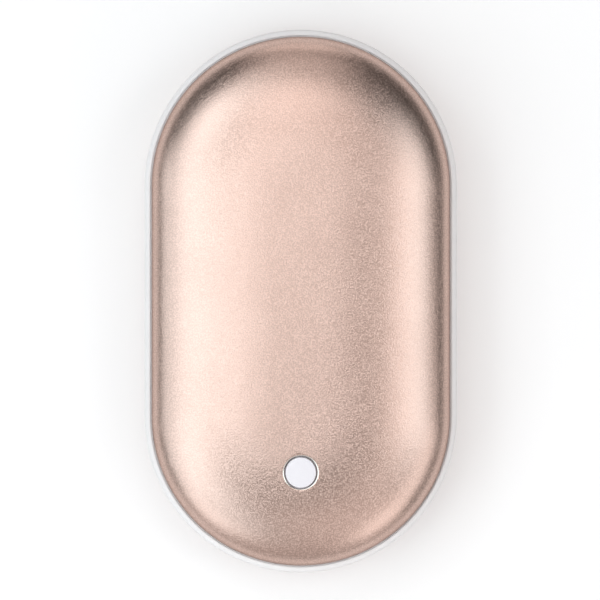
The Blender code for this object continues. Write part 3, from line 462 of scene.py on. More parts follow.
def skin(depth):
    """Distances and heights over the middle plane, from the crown out to the edge."""
    points = [(0, MID - depth)]
    for step in range(SKIN_STEPS + 1):
        angle = QUARTER_TURN * step / SKIN_STEPS
        out = math.sin(angle) ** (2 / CROWN_SPREAD_POWER)
        up = max(math.cos(angle), 0) ** (2 / CROWN_FALL_POWER)
        lean = Vector((
            CROWN_SPREAD_POWER * out ** (CROWN_SPREAD_POWER - 1) / CROWN_REACH,
            CROWN_FALL_POWER * up ** (CROWN_FALL_POWER - 1) / CROWN_RISE,
        )).normalized()
        points.append((
            CROWN_FLAT + CROWN_REACH * out - depth * lean.x,
            EDGE_LEVEL + CROWN_RISE * up - depth * lean.y,
        ))
    return points


def shell_section(side):
    """The closed section of one shell, with its eased edge."""
    eased = EDGE_LEVEL + EDGE_EASE
    outer = [point for point in skin(0) if point[1] > eased]
    inner = [point for point in skin(SHELL_WALL) if point[1] > eased]
    edge = arc((EDGE_RADIUS - EDGE_EASE, eased), EDGE_EASE, 0, -QUARTER_TURN)
    edge += arc((inner[-1][0] + EDGE_EASE, eased), EDGE_EASE, -QUARTER_TURN, -HALF_TURN)
    section = outer + edge + inner[::-1]
    return [(distance, MID + side * height) for distance, height in section]


print("shell section of", len(shell_section(FRONT)), "points")

# %% [markdown]
# The button's hole is bored square to the board, and its mouth is chamfered square to the skin,
# which leans a few degrees there. A cutter turned in one piece, bore and chamfer together,
# would lean the bore too, so there are two. The chamfer is cut after the dyeing, so it is bare
# metal, a thin bright ring round the button. Its faces are known by their lean and their place,
# and wear the piece's second material.

# %% The shells and the button's hole
cap_low, cap_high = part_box("button_cap")
BUTTON_Y = (cap_low.y + cap_high.y) / 2
FLANGE_RADIUS = cap_high.x
CAP_RADIUS = 2.95 * MM
HOLE_RADIUS = CAP_RADIUS + 0.3 * MM
CHAMFER_WIDTH = 0.3 * MM
CHAMFER_DEPTH = 0.14 * MM
CHAMFER_TOLERANCE = math.radians(8)
TURNING_SIZE = 0.08 * MM
CUT = 2 * MM

cut_metal = Finish("bare_aluminium", metallic=1.0)
turning = cut_metal.noise(TURNING_SIZE)
cut_metal.paint(turning, (0.6, 0.56, 0.51), (0.72, 0.68, 0.63), 0.22 + turning * 0.1)
from_spine = -BUTTON_Y - SPINE
hole_top = crown_height(from_spine)
skin_drop = crown_height(from_spine - CAP_RADIUS) - crown_height(from_spine + CAP_RADIUS)
skin_lean = math.atan(skin_drop / (2 * CAP_RADIUS))

bore = bmesh.new()
rod(bore, (0, BUTTON_Y, hole_top - CUT), (0, BUTTON_Y, hole_top + CUT), HOLE_RADIUS)
flare = CUT / CHAMFER_DEPTH
mouth = turned([
    (0, -CHAMFER_DEPTH), (HOLE_RADIUS, -CHAMFER_DEPTH),
    (HOLE_RADIUS + CHAMFER_WIDTH * (1 + flare), CUT), (0, CUT),
])
lean = Matrix.Translation((0, BUTTON_Y, hole_top)) @ Matrix.Rotation(skin_lean, 4, "X")
bmesh.ops.transform(mouth, matrix=lean, verts=mouth.verts)
front = combined(racetrack(shell_section(FRONT)), "DIFFERENCE", bore)
front = combined(front, "DIFFERENCE", mouth)
skin_way = lean.to_3x3() @ Vector((0, 0, 1))
chamfer_lean = math.atan(CHAMFER_DEPTH / CHAMFER_WIDTH)
bright_faces = 0
for face in front.faces:
    spot = face.calc_center_median() - Vector((0, BUTTON_Y, hole_top))
    turned_in = abs(face.normal.angle(skin_way) - chamfer_lean) < CHAMFER_TOLERANCE
    if turned_in and math.hypot(spot.x, spot.y) < HOLE_RADIUS + CHAMFER_WIDTH and abs(spot.z) < MM:
        face.material_index = 1
        bright_faces += 1
metal = shell_metal.material
front_cover = add_piece("front_cover", front, metal, "case", ["front_shell"])
front_cover.data.materials.append(cut_metal.material)
add_piece("rear_cover", racetrack(shell_section(REAR)), metal, "case", ["rear_shell"])
print("faces of the bright chamfer:", bright_faces)

# %% [markdown]
# ## White plastic
#
# The band and the button are moulded in white plastic with a fine spark-eroded surface. It is
# nearly plain, so two quiet things keep it from looking like paint: a faint cloudiness from the
# flow of the melt, and a fine grain in its gloss and its relief.

# %% Finish of the band
WHITE = (0.93, 0.895, 0.885)
WHITE_CLOUD = (0.905, 0.87, 0.862)
FLOW_SIZE = 6 * MM
SPARK_SIZE = 0.12 * MM
SPARK_DEPTH = 0.002 * MM

band_plastic = Finish("band_white", ior=1.5)
flow = band_plastic.noise(FLOW_SIZE, detail=3)
spark = band_plastic.noise(SPARK_SIZE)
band_plastic.paint(flow, WHITE_CLOUD, WHITE, 0.38 + spark * 0.12)
band_plastic.bump(spark, SPARK_DEPTH)
print("white plastic:", WHITE_CLOUD, "to", WHITE)

# %% [markdown]
# ## The band
#
# The band is the case's backbone. Its section has the round rim that shows between the shells,
# a shoulder that carries each seal, and a thin lip inside that each shell slips over. A closed
# section is swept round the case in one go, and then the bosses for the screws are joined to
# its inside and the sockets' pocket is cut square across its round end.

# %% Section of the band
BAND_ROUNDING = 1.0 * MM
LIP_RISE = 1.5 * MM
LIP_FIT = 0.45 * MM
LIP_OUTER = EDGE_RADIUS - SHELL_WALL - LIP_FIT
LIP_INNER = LIP_OUTER - 1.0 * MM
LIP_EASE = 0.15 * MM
GUTTER_REACH = 0.05 * MM
GUTTER_WIDTH = 0.25 * MM
GUTTER_DEPTH = 0.45 * MM
INNER_EASE = 0.15 * MM


def band_section():
    """The closed section, from the front lip's inside round to the rear lip's."""
    lip_top = BAND_HALF + LIP_RISE
    upper = arc((LIP_INNER + LIP_EASE, lip_top - LIP_EASE), LIP_EASE, HALF_TURN, QUARTER_TURN, 3)
    upper += arc((LIP_OUTER - LIP_EASE, lip_top - LIP_EASE), LIP_EASE, QUARTER_TURN, 0, 3)
    upper.append((LIP_OUTER, BAND_HALF))
    gutter = EDGE_RADIUS - GUTTER_REACH
    upper += [(gutter, BAND_HALF), (gutter, BAND_HALF - GUTTER_DEPTH)]
    gutter += GUTTER_WIDTH
    ease = (gutter + INNER_EASE, BAND_HALF - INNER_EASE)
    upper += [(gutter, BAND_HALF - GUTTER_DEPTH), (gutter, BAND_HALF - INNER_EASE)]
    upper += arc(ease, INNER_EASE, HALF_TURN, QUARTER_TURN, 4)
    rim = (RADIUS - BAND_ROUNDING, BAND_HALF - BAND_ROUNDING)
    upper += arc(rim, BAND_ROUNDING, QUARTER_TURN, 0, 10)
    lower = [(distance, -height) for distance, height in reversed(upper)]
    return [(distance, MID + height) for distance, height in upper + lower]


band = racetrack(band_section(), closed=True)
print("band swept:", len(band.faces), "faces")

# %% [markdown]
# The bosses stand where the screws are, so their places are read from the screws. Each is a
# block that runs out into the lip, and one intersection with the band's own outline trims
# them all. The board's screws stand on short shelves below the board.

# %% Bosses and pilot holes
BOSS_WIDTH = 4.8 * MM
BOSS_REACH = 5.8 * MM
PILOT_RADIUS = 1.3 * MM
PILOT_SIDES = 32
BOARD_ROOM = 0.1 * MM


def centre(node):
    """The middle of a node's box."""
    low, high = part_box(node)
    return (low + high) / 2


board_low, board_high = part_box("main_board")
boss_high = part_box("cell_strap")[0].z - BOARD_ROOM
boss_low = 2 * MID - boss_high
shelf_low = MID - BAND_HALF - LIP_RISE - BOARD_ROOM
shelf_high = board_low.z - BOARD_ROOM
bosses = bmesh.new()
pilots = bmesh.new()
for group, count, low, high in (
    ("cradle_screw", 4, boss_low, boss_high), ("strap_screw", 2, boss_low, boss_high),
    ("board_screw", 2, shelf_low, shelf_high),
):
    for number in range(1, count + 1):
        spot = centre(f"{group}_{number}")
        side = math.copysign(1, spot.x)
        wide = BOSS_WIDTH / 2
        start = abs(spot.x) - wide if group == "board_screw" else LIP_INNER - BOSS_REACH
        box(bosses, (side * start, spot.y - wide, low), (side * RADIUS, spot.y + wide, high))
        ends = [(spot.x, spot.y, level) for level in (low - MM, high + MM)]
        rod(pilots, *ends, PILOT_RADIUS, PILOT_SIDES)
lip_middle = (LIP_INNER + LIP_OUTER) / 2
limit = racetrack([(0, MID + BAND_HALF), (lip_middle, MID + BAND_HALF), (lip_middle, 0), (0, 0)])
bosses = combined(bosses, "INTERSECT", limit)
band = combined(band, "UNION", bosses)
band = combined(band, "DIFFERENCE", pilots)
print("band with bosses:", len(band.faces), "faces")

# %% [markdown]
# The pocket is a rounded block that runs in from outside to the flat land, and the two mouths
# go on through the wall. Each socket's own box says how wide its mouth is. The small socket has
# two slanted corners, so its mouth has them too. The rims of the mouths are eased, and they are
# known by lying in the land's plane.

# %% Pocket and mouths
POCKET_MARGIN = 0.35 * MM
POCKET_HEIGHT = 7 * MM
POCKET_ROUNDING = 1.2 * MM
MOUTH_ROOM = 0.2 * MM
MOUTH_EASE = 0.14 * MM
SLANT_ROOM = 0.6 * MOUTH_ROOM
FOLD_ROUNDING = 0.55 * MM
SLANT = 0.8 * MM
STEEP = math.radians(60)


def slanted(low, high, slant, rounding):
    """A box along Y with slanted lower corners and round upper ones."""
    shape = bmesh.new()
    box(shape, low, high)
    for lower, offset, segments in ((True, slant, 1), (False, rounding, 4)):
        level = low[2] if lower else high[2]
        chosen = [
            edge for edge in shape.edges
            if runs_along(edge, 1) and abs(edge.verts[0].co.z - level) < MERGE
            and (edge.verts[0].co.x - low[0] < MERGE or high[0] - edge.verts[0].co.x < MERGE)
        ]
        round_off(shape, chosen, offset, segments)
    return shape


out_low, out_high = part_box("output_socket_shell")
in_low, in_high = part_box("charging_socket_shell")
LAND_Y = out_low.y
pocket = rounded_box(
    (out_low.x - POCKET_MARGIN, whole_low.y - MM, MID - POCKET_HEIGHT / 2),
    (in_high.x + POCKET_MARGIN, LAND_Y, MID + POCKET_HEIGHT / 2),
    POCKET_ROUNDING, (1,), 8,
)
band = combined(band, "DIFFERENCE", pocket)
before, behind = Vector((MOUTH_ROOM, MM, MOUTH_ROOM)), Vector((MOUTH_ROOM, 0, MOUTH_ROOM))
fold = FOLD_ROUNDING + MOUTH_ROOM
for mouth in (
    rounded_box(out_low - before, out_high + behind, fold, (1,), 6),
    slanted(in_low - before, in_high + behind, SLANT + SLANT_ROOM, fold),
):
    band = combined(band, "DIFFERENCE", mouth)
mouth_edges = [
    edge for edge in band.edges
    if all(abs(end.co.y - LAND_Y) < MERGE for end in edge.verts)
    and len(edge.link_faces) == 2 and edge.is_convex and edge.calc_face_angle() > STEEP
]
round_off(band, mouth_edges, MOUTH_EASE, 3)
print("edges of the mouths eased:", len(mouth_edges))
white = band_plastic.material
add_piece("white_band", band, white, "case", ["mid_frame"])

# %% [markdown]
# ## Seals
#
# A thin black silicone ring lies between each shell and the band's shoulder. From outside it is
# only the dark line under the shell's edge. Its rim bulges a little where the shell presses it.

# %% Seal rings
SEAL_STEPS = 5
DUST_SIZE = 0.2 * MM
DUST_DEPTH = 0.004 * MM

rubber = Finish("black_silicone")
dust = rubber.noise(DUST_SIZE, detail=3)
rubber.paint(dust, (0.018, 0.017, 0.018), (0.034, 0.032, 0.033), 0.52 + dust * 0.2)
rubber.bump(dust, DUST_DEPTH)
for side in ("front", "rear"):
    low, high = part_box(f"{side}_seal")
    half = (high.z - low.z) / 2
    middle = (high.z + low.z) / 2
    inner = LIP_OUTER + MOUTH_ROOM
    ring = arc((SEAL_RADIUS - half, middle), half, QUARTER_TURN, -QUARTER_TURN, SEAL_STEPS)
    ring = racetrack(ring + [(inner, low.z), (inner, high.z)], closed=True)
    add_piece(f"{side}_gasket", ring, rubber.material, "case", [f"{side}_seal"])

# %% [markdown]
# ## The button
#
# The cap is one turned piece: the round head that shows, a flange that keeps it in the hole,
# and a post down to the switch. It rides on the button's body, so that it can be pressed.

# %% Button cap
CAP_ROUNDING = 0.2 * MM
FLANGE_THICK = 0.8 * MM
POST_RADIUS = 2 * MM
HAZE_SIZE = 2 * MM

cap_top = cap_high.z
flange_top = crown_height(from_spine + FLANGE_RADIUS) - SHELL_WALL - MOUTH_ROOM
flange_base = flange_top - FLANGE_THICK
cap_edge = (CAP_RADIUS - CAP_ROUNDING, cap_top - CAP_ROUNDING)
cap = turned([
    (0, cap_top), *arc(cap_edge, CAP_ROUNDING, QUARTER_TURN, 0, 8),
    (CAP_RADIUS, flange_top), (FLANGE_RADIUS, flange_top), (FLANGE_RADIUS, flange_base),
    (POST_RADIUS, flange_base), (POST_RADIUS, cap_low.z), (0, cap_low.z),
])
bmesh.ops.translate(cap, verts=cap.verts, vec=(0, BUTTON_Y, 0))
button_plastic = Finish("button_white", ior=1.5)
haze = button_plastic.noise(HAZE_SIZE, detail=3)
grain = button_plastic.noise(SPARK_SIZE)
button_plastic.paint(haze, (0.86, 0.82, 0.85), (0.885, 0.845, 0.875), 0.32 + grain * 0.1)
button_plastic.bump(grain, SPARK_DEPTH)
add_piece("push_button", cap, button_plastic.material, "button", ["button_cap"])

# %% [markdown]
# ## Steel, nickel and gold
#
# The sockets' shells, the screws and the strips are plated sheet and wire. They share one
# recipe: a metal with a fine brushed grain, stretched along the sheet, and small stains in its
# roughness. Only the colour, the roughness and the direction of the grain differ.

# %% Metal finishes
BRUSH_SIZE = 0.09 * MM
BRUSH_DEPTH = 0.002 * MM
BRUSH_STRETCH = 0.08
STAIN_SIZE = 1.5 * MM


def plated(name, bright, dull, roughness, stretch):
    """A plated metal with a brushed grain."""
    made = Finish(name, metallic=1.0)
    brush = made.noise(BRUSH_SIZE, detail=3, stretch=stretch)
    stain = made.noise(STAIN_SIZE, detail=3)
    made.paint(stain, dull, bright, roughness + brush * 0.12 + stain * 0.08)
    made.bump(brush, BRUSH_DEPTH)
    return made.material


across, along, upright = (BRUSH_STRETCH, 1, 1), (1, BRUSH_STRETCH, 1), (1, 1, BRUSH_STRETCH)
tinned = plated("tinned_steel", (0.66, 0.65, 0.63), (0.56, 0.55, 0.53), 0.24, along)
nickel = plated("nickel_strip", (0.63, 0.60, 0.55), (0.53, 0.50, 0.45), 0.28, across)
zinc = plated("zinc_steel", (0.50, 0.50, 0.51), (0.36, 0.36, 0.38), 0.30, upright)
gold = plated("gold_plate", (0.95, 0.68, 0.30), (0.88, 0.60, 0.24), 0.18, along)
print("metals:", tinned.name, nickel.name, zinc.name, gold.name)

# %% [markdown]
# ## Dark plastics
#
# The tray, the strap, the bridge and the small parts on the board are moulded in black. A black
# surface shows its texture through its gloss, so the recipe varies roughness more than colour.

# %% Plastic finishes
FLOW_MARKS = 5 * MM
MOULD_DEPTH = 0.004 * MM


def moulded(name, dark, light, roughness, grain_size):
    """A moulded plastic with a fine grain and faint flow marks."""
    made = Finish(name)
    grain = made.noise(grain_size, detail=3)
    flow = made.noise(FLOW_MARKS, stretch=(1, 0.3, 1))
    made.paint(flow * 0.6 + grain * 0.4, dark, light, roughness + grain * 0.18)
    made.bump(grain, MOULD_DEPTH)
    return made.material


black_plastic, package, ferrite, ceramic, socket_white = (
    moulded(name, dark, light, roughness, grain * MM) for name, dark, light, roughness, grain in (
        ("black_moulding", (0.014, 0.014, 0.016), (0.034, 0.034, 0.037), 0.42, 0.2),
        ("chip_package", (0.016, 0.016, 0.018), (0.03, 0.03, 0.032), 0.5, 0.06),
        ("ferrite_grey", (0.05, 0.05, 0.053), (0.10, 0.10, 0.105), 0.55, 0.08),
        ("ceramic_tan", (0.30, 0.19, 0.10), (0.42, 0.28, 0.16), 0.38, 0.05),
        ("socket_white", (0.74, 0.73, 0.70), (0.82, 0.81, 0.78), 0.36, 0.1),
    )
)
print("plastics:", black_plastic.name, package.name, ferrite.name, ceramic.name, socket_white.name)

# %% [markdown]
# ## The output socket
#
# The wide socket is a folded steel shell round a plastic tongue with four contacts. Two spring
# leaves in the roof and two in the floor press on the plug, each bent out of its own window. A
# folded shell has round corners, so its duct is one rounded box cut from another.

# %% Shell of the output socket
SHEET = 0.35 * MM
WINDOW_REACH = 1.5 * SHEET
LEAF_THICK = 0.7 * SHEET
LEAF_WIDTH = 2.2 * MM
LEAF_LENGTH = 6.2 * MM
LEAF_SPACING = 5.4 * MM
LEAF_SLIT = 0.3 * MM
LEAF_START = 2.6 * MM
LEAF_LEAN = math.radians(4.5)

inset = Vector((SHEET, -MM, SHEET))
inner = rounded_box(out_low + inset, out_high - inset, FOLD_ROUNDING - SHEET, (1,), 6)
shell = combined(rounded_box(out_low, out_high, FOLD_ROUNDING, (1,), 6), "DIFFERENCE", inner)
middle_x = (out_low.x + out_high.x) / 2
windows = bmesh.new()
leaves = bmesh.new()
for side in (-1, 1):
    for level, lean in ((out_high.z, -LEAF_LEAN), (out_low.z, LEAF_LEAN)):
        start = Vector((middle_x + side * LEAF_SPACING / 2, LAND_Y + LEAF_START, level))
        root = start + Vector((0, LEAF_LENGTH, 0))
        reach = Vector((LEAF_WIDTH / 2 + LEAF_SLIT, 0, WINDOW_REACH))
        box(windows, start - reach, root + reach)
        inward = Vector((0, 0, math.copysign(SHEET / 2, lean)))
        lower = Vector((-LEAF_WIDTH / 2, LEAF_SLIT, -LEAF_THICK / 2))
        upper = Vector((LEAF_WIDTH / 2, SHEET, LEAF_THICK / 2))
        leaf = box(leaves, start + inward + lower, root + inward + upper)
        tilt = Matrix.Rotation(-lean, 3, "X")
        bmesh.ops.rotate(leaves, verts=leaf, cent=root + inward, matrix=tilt)
shell = combined(shell, "DIFFERENCE", windows)
shell = combined(shell, "UNION", leaves)
add_piece("output_shell", shell, tinned, "case", ["output_socket_shell"])

# %% [markdown]
# The tongue is a blade on a block that closes the shell's back. Its edges are eased, and each
# contact is a springy strip on its underside, whose nose is bent up into it at the front.

# %% Tongue and contacts
TONGUE_EASE = 0.15 * MM
TONGUE_THICK = 1.84 * MM
BLADE_ROOM = 0.1 * MM
BLOCK_DEPTH = 3 * MM
CONTACT_EASE = 0.05 * MM
NOSE_RISE = 0.06 * MM

tongue_low, tongue_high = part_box("output_socket_tongue")
blade_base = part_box("output_socket_contact_1")[1].z + BLADE_ROOM
block_start = tongue_high.y - BLOCK_DEPTH
block = rounded_box((tongue_low.x, block_start, tongue_low.z), tongue_high, TONGUE_EASE, (1,), 3)
blade_end = (tongue_high.x - SHEET, block_start + MM, blade_base + TONGUE_THICK)
blade = rounded_box(
    (tongue_low.x + SHEET, tongue_low.y, blade_base), blade_end, 2 * TONGUE_EASE, (0, 1), 4
)
tongue = combined(block, "UNION", blade)
add_piece("output_tongue", tongue, socket_white, "case", ["output_socket_tongue"])
for number in (1, 2, 3, 4):
    node = f"output_socket_contact_{number}"
    low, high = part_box(node)
    strip = rounded_box(low, high, CONTACT_EASE, (1,), 2)
    bmesh.ops.bisect_plane(
        strip, geom=strip.verts[:] + strip.edges[:] + strip.faces[:],
        plane_co=(0, low.y + MM, 0), plane_no=(0, 1, 0),
    )
    for point in strip.verts:
        if point.co.y < low.y + MERGE:
            point.co.z += NOSE_RISE
    add_piece(f"output_contact_{number}", strip, gold, "case", [node])

# %% [markdown]
# ## The charging socket
#
# The small socket is made the same way. Its two lower corners are folded on a slant, which is
# how a plug finds the right way up, and its tongue carries five fine contacts.

# %% Shell, tongue and contacts of the charging socket
FINE_SHEET = 0.3 * MM
FINE_TONGUE_WIDTH = 3.7 * MM
FINE_TONGUE_THICK = 0.6 * MM
FINE_TONGUE_EASE = 0.15 * MM
FINE_BLOCK_DEPTH = 1.5 * MM
FINE_BLOCK_EASE = 0.1 * MM
FINE_PITCH = 0.65 * MM
PIN_START, PIN_END = 0.3 * MM, 0.2 * MM
PIN_HALF = 0.16 * MM
PIN_BELOW, PIN_ABOVE = 0.06 * MM, 0.02 * MM

low, high = in_low, in_high
inset = Vector((FINE_SHEET, -MM, FINE_SHEET))
small_shell = combined(
    slanted(low, high, SLANT, FOLD_ROUNDING), "DIFFERENCE",
    slanted(low + inset, high - inset, SLANT - FINE_SHEET * 0.4, FOLD_ROUNDING - FINE_SHEET),
)
add_piece("charging_shell", small_shell, tinned, "case", ["charging_socket_shell"])

low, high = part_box("charging_socket_tongue")
middle_x = (low.x + high.x) / 2
level = (in_low.z + in_high.z) / 2
block_start = high.y - FINE_BLOCK_DEPTH
block = rounded_box((low.x, block_start, low.z), high, FINE_BLOCK_EASE, (1,), 2)
half = FINE_TONGUE_WIDTH / 2
blade_end = (middle_x + half, block_start + MM / 2, level + FINE_TONGUE_THICK)
blade = rounded_box((middle_x - half, low.y, level), blade_end, FINE_TONGUE_EASE, (0, 1), 3)
tongue = combined(block, "UNION", blade)
node = "charging_socket_tongue"
add_piece("charging_tongue", tongue, black_plastic, "case", [node])
pins = bmesh.new()
for number in range(5):
    x = middle_x + (number - 2) * FINE_PITCH
    box(
        pins, (x - PIN_HALF, low.y + PIN_START, level - PIN_BELOW),
        (x + PIN_HALF, block_start + PIN_END, level + PIN_ABOVE),
    )
add_piece("charging_pins", pins, gold, "case", [])

# %% [markdown]
# ## The two cells
#
# Each cell is a drawn steel can in a shrunk film sleeve. Near its positive end a groove is
# rolled into the can to hold the lid, and the sleeve follows it. Both are turned in one piece
# about Z and then laid along the case. The film is folded over each end, where it wrinkles a
# little, so its bump is finer there than a plain grain.

# %% The section of a cell
SLEEVE = 0.12 * MM
SLEEVE_FOLD = 1.6 * MM
CELL_EASE = 0.8 * MM
GROOVE_FROM_END = 3.6 * MM
GROOVE_HALF = 0.75 * MM
GROOVE_DEEP = 0.55 * MM
GROOVE_STEPS = 12
NUB_RADIUS = 3 * MM
NUB_RISE = 0.8 * MM
NUB_EASE = 0.3 * MM
WASHER_ROOM = 0.3 * MM
LID_RADIUS = 6.2 * MM
LID_SINK = 0.5 * MM
LAID = Matrix.Rotation(-QUARTER_TURN, 4, "X")


def cell_side(rim, radius, inset, length):
    """The side of a cell's section: two eased ends with the rolled groove between them."""
    middle = length - GROOVE_FROM_END
    points = arc((rim, inset + CELL_EASE), CELL_EASE, -QUARTER_TURN, 0)
    for step in range(GROOVE_STEPS + 1):
        share = step / GROOVE_STEPS
        dip = GROOVE_DEEP * (1 - math.cos(2 * HALF_TURN * share)) / 2
        points.append((radius - dip, middle + GROOVE_HALF * (2 * share - 1)))
    return points + arc((rim, length - inset - CELL_EASE), CELL_EASE, 0, QUARTER_TURN)


def laid(shape, x, start):
    """Lay a turned shape along the case, with its own start at a place along Y."""
    place = Matrix.Translation((x, start, MID)) @ LAID
    bmesh.ops.transform(shape, matrix=place, verts=shape.verts)
    return shape


print("groove", GROOVE_DEEP / MM, "mm deep,", GROOVE_FROM_END / MM, "mm from the positive end")

# %% Finishes of the sleeves and washers
CRINKLE_SIZE = 0.5 * MM
CRINKLE_DEPTH = 0.015 * MM
TONE_SIZE = 7 * MM
FIBRE_SIZE = 0.15 * MM
FIBRE_DEPTH = 0.02 * MM

film_sleeve = Finish("cell_film", coat_weight=0.5, coat_roughness=0.15)
crinkle = film_sleeve.noise(CRINKLE_SIZE, detail=4, stretch=(1, 0.25, 1))
tone = film_sleeve.noise(TONE_SIZE)
film_sleeve.paint(tone, (0.025, 0.13, 0.30), (0.04, 0.18, 0.38), 0.25 + crinkle * 0.15)
film_sleeve.bump(crinkle, CRINKLE_DEPTH)
paper = Finish("washer_paper")
fibre = paper.noise(FIBRE_SIZE, detail=4, roughness=0.7)
paper.paint(fibre, (0.62, 0.58, 0.48), (0.80, 0.77, 0.68), 0.75 + fibre * 0.2)
paper.bump(fibre, FIBRE_DEPTH)
print("finishes:", film_sleeve.material.name, paper.material.name)

# %% Cells, sleeves and washers
for word in ("left", "right"):
    node = f"cell_{word}"
    low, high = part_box(node)
    x = (low.x + high.x) / 2
    radius = (high.x - low.x) / 2
    length = high.y - low.y - NUB_RISE
    can = radius - SLEEVE
    nub = (NUB_RADIUS - NUB_EASE, length + NUB_RISE - NUB_EASE)
    section = [
        (0, SLEEVE), *cell_side(can - CELL_EASE, can, SLEEVE, length),
        (LID_RADIUS + LID_SINK, length - SLEEVE), (LID_RADIUS, length - LID_SINK),
        (NUB_RADIUS + LID_SINK, length - LID_SINK),
        *arc(nub, NUB_EASE, 0, QUARTER_TURN, 4), (0, length + NUB_RISE),
    ]
    add_piece(f"{node}_can", laid(turned(section), x, low.y), nickel, "case", [node])
    fold = radius - SLEEVE_FOLD
    outer = [(fold, 0), *cell_side(radius - CELL_EASE, radius, 0, length), (fold, length)]
    half = SLEEVE / 2
    inner = cell_side(can - CELL_EASE, can + half, half, length)
    inner = [(fold, half), *inner, (fold, length - half)]
    sleeve = laid(turned(outer + inner[::-1], closed=True), x, low.y)
    add_piece(f"{node}_sleeve", sleeve, film_sleeve.material, "case", [node])
    low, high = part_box(f"{node}_washer")
    hole, edge, thick = NUB_RADIUS + WASHER_ROOM, (high.x - low.x) / 2, high.y - low.y
    ring = turned([(hole, 0), (edge, 0), (edge, thick), (hole, thick)], closed=True)
    washer = laid(ring, x, low.y)
    add_piece(f"washer_{word}", washer, paper.material, "case", [f"{node}_washer"])

# %% [markdown]
# ## Nickel strips
#
# A strip is welded to each cell at two pairs of points. A slit between the points of a pair
# makes the welding current go through the cell, and each weld leaves a small raised nugget.

# %% Strips
STRIP_ROUNDING = 0.6 * MM
WELD_SPACING = 2.6 * MM
WELD_HEIGHT = 0.55 * WELD_SPACING
WELD_RADIUS = 0.55 * MM
WELD_RISE = 0.08 * MM
SLIT_WIDTH = 0.5 * MM
SLIT_LENGTH = 3.6 * MM

for node, face in (("positive_strip", 1), ("negative_strip", -1)):
    low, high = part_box(node)
    strip = rounded_box(low, high, STRIP_ROUNDING, (1,), 5)
    slits = bmesh.new()
    nuggets = bmesh.new()
    outside = high.y if face > 0 else low.y
    for word in ("left", "right"):
        x = centre(f"cell_{word}").x
        box(
            slits, (x - SLIT_LENGTH / 2, low.y - MM, MID - SLIT_WIDTH / 2),
            (x + SLIT_LENGTH / 2, high.y + MM, MID + SLIT_WIDTH / 2),
        )
        for side, up in CORNERS:
            spot = (x + side * WELD_SPACING / 2, outside, MID + up * WELD_HEIGHT / 2)
            ball(nuggets, spot, WELD_RADIUS, (1, WELD_RISE / WELD_RADIUS, 1), 20)
    strip = combined(strip, "DIFFERENCE", slits)
    strip = combined(strip, "UNION", nuggets)
    add_piece(f"{node}_sheet", strip, nickel, "case", [node])

# %% [markdown]
# ## Screws
#
# A real thread is one spiral ridge. Spinning a small ridge section about Z with a rise per turn
# draws it in a single operator, round a plain core. The head is turned, and a cross is cut into
# it. Every screw is then moved to its node's box, and turned over where it is driven upwards.

# %% Screws
HEAD_RADIUS = 1.9 * MM
HEAD_RISE = 1.1 * MM
HEAD_EASE = 0.45 * MM
CORE_RADIUS = 0.78 * MM
TIP_RADIUS = 0.2 * MM
THREAD_RADIUS = 1.0 * MM
THREAD_ROOT = 0.9 * CORE_RADIUS
THREAD_PITCH = 0.5 * MM
THREAD_BASE = 0.7 * THREAD_PITCH
THREAD_STEPS = 20
CROSS_LENGTH = 2.0 * MM
CROSS_WIDTH = 0.45 * MM
CROSS_DEPTH = 0.7 * MM
CROSS_TIP = 0.35


def screw(length):
    """A pan-head screw, head up, with its bearing face at the origin."""
    rim = (HEAD_RADIUS - HEAD_EASE, HEAD_RISE - HEAD_EASE)
    base = CORE_RADIUS - length
    section = [
        (0, HEAD_RISE), *arc(rim, HEAD_EASE, QUARTER_TURN, 0, 5), (HEAD_RADIUS, 0), (CORE_RADIUS, 0),
        (CORE_RADIUS, base), (TIP_RADIUS, -length), (0, -length),
    ]
    shape = turned(section, sides=32)
    cross = bmesh.new()
    for long_x, long_y in ((CROSS_LENGTH, CROSS_WIDTH), (CROSS_WIDTH, CROSS_LENGTH)):
        arm = bmesh.ops.create_cone(
            cross, cap_ends=True, segments=4, radius1=CROSS_TIP, radius2=math.sqrt(0.5), depth=1
        )["verts"]
        bmesh.ops.rotate(cross, verts=arm, matrix=Matrix.Rotation(QUARTER_TURN / 2, 3, "Z"))
        bmesh.ops.scale(cross, verts=arm, vec=(long_x, long_y, CROSS_DEPTH * 2))
        bmesh.ops.translate(cross, verts=arm, vec=(0, 0, HEAD_RISE))
    shape = combined(shape, "DIFFERENCE", cross)
    ridge = bmesh.new()
    turns = (length - CORE_RADIUS) / THREAD_PITCH - 1
    points = [ridge.verts.new(spot) for spot in (
        (THREAD_ROOT, 0, base), (THREAD_RADIUS, 0, base + THREAD_BASE / 2),
        (THREAD_ROOT, 0, base + THREAD_BASE),
    )]
    face = ridge.faces.new(points)
    bmesh.ops.spin(
        ridge, geom=[face, *face.edges, *points], cent=(0, 0, 0), axis=(0, 0, 1),
        angle=2 * HALF_TURN * turns, steps=round(THREAD_STEPS * turns),
        dvec=(0, 0, THREAD_PITCH / THREAD_STEPS), use_duplicate=False,
    )
    bmesh.ops.recalc_face_normals(ridge, faces=ridge.faces)
    add_shape(shape, ridge)
    return shape


for group, count, upwards in (
    ("cradle_screw", 4, True), ("strap_screw", 2, False), ("board_screw", 2, False),
    ("bridge_screw", 2, True),
):
    for number in range(1, count + 1):
        node = f"{group}_{number}"
        low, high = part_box(node)
        made = screw(high.z - low.z - HEAD_RISE)
        spot = centre(node)
        spot.z = low.z + HEAD_RISE if upwards else high.z - HEAD_RISE
        turn = Matrix.Rotation(HALF_TURN if upwards else 0, 4, "X")
        bmesh.ops.transform(made, matrix=Matrix.Translation(spot) @ turn, verts=made.verts)
        add_piece(f"{node}_steel", made, zinc, "case", [node])

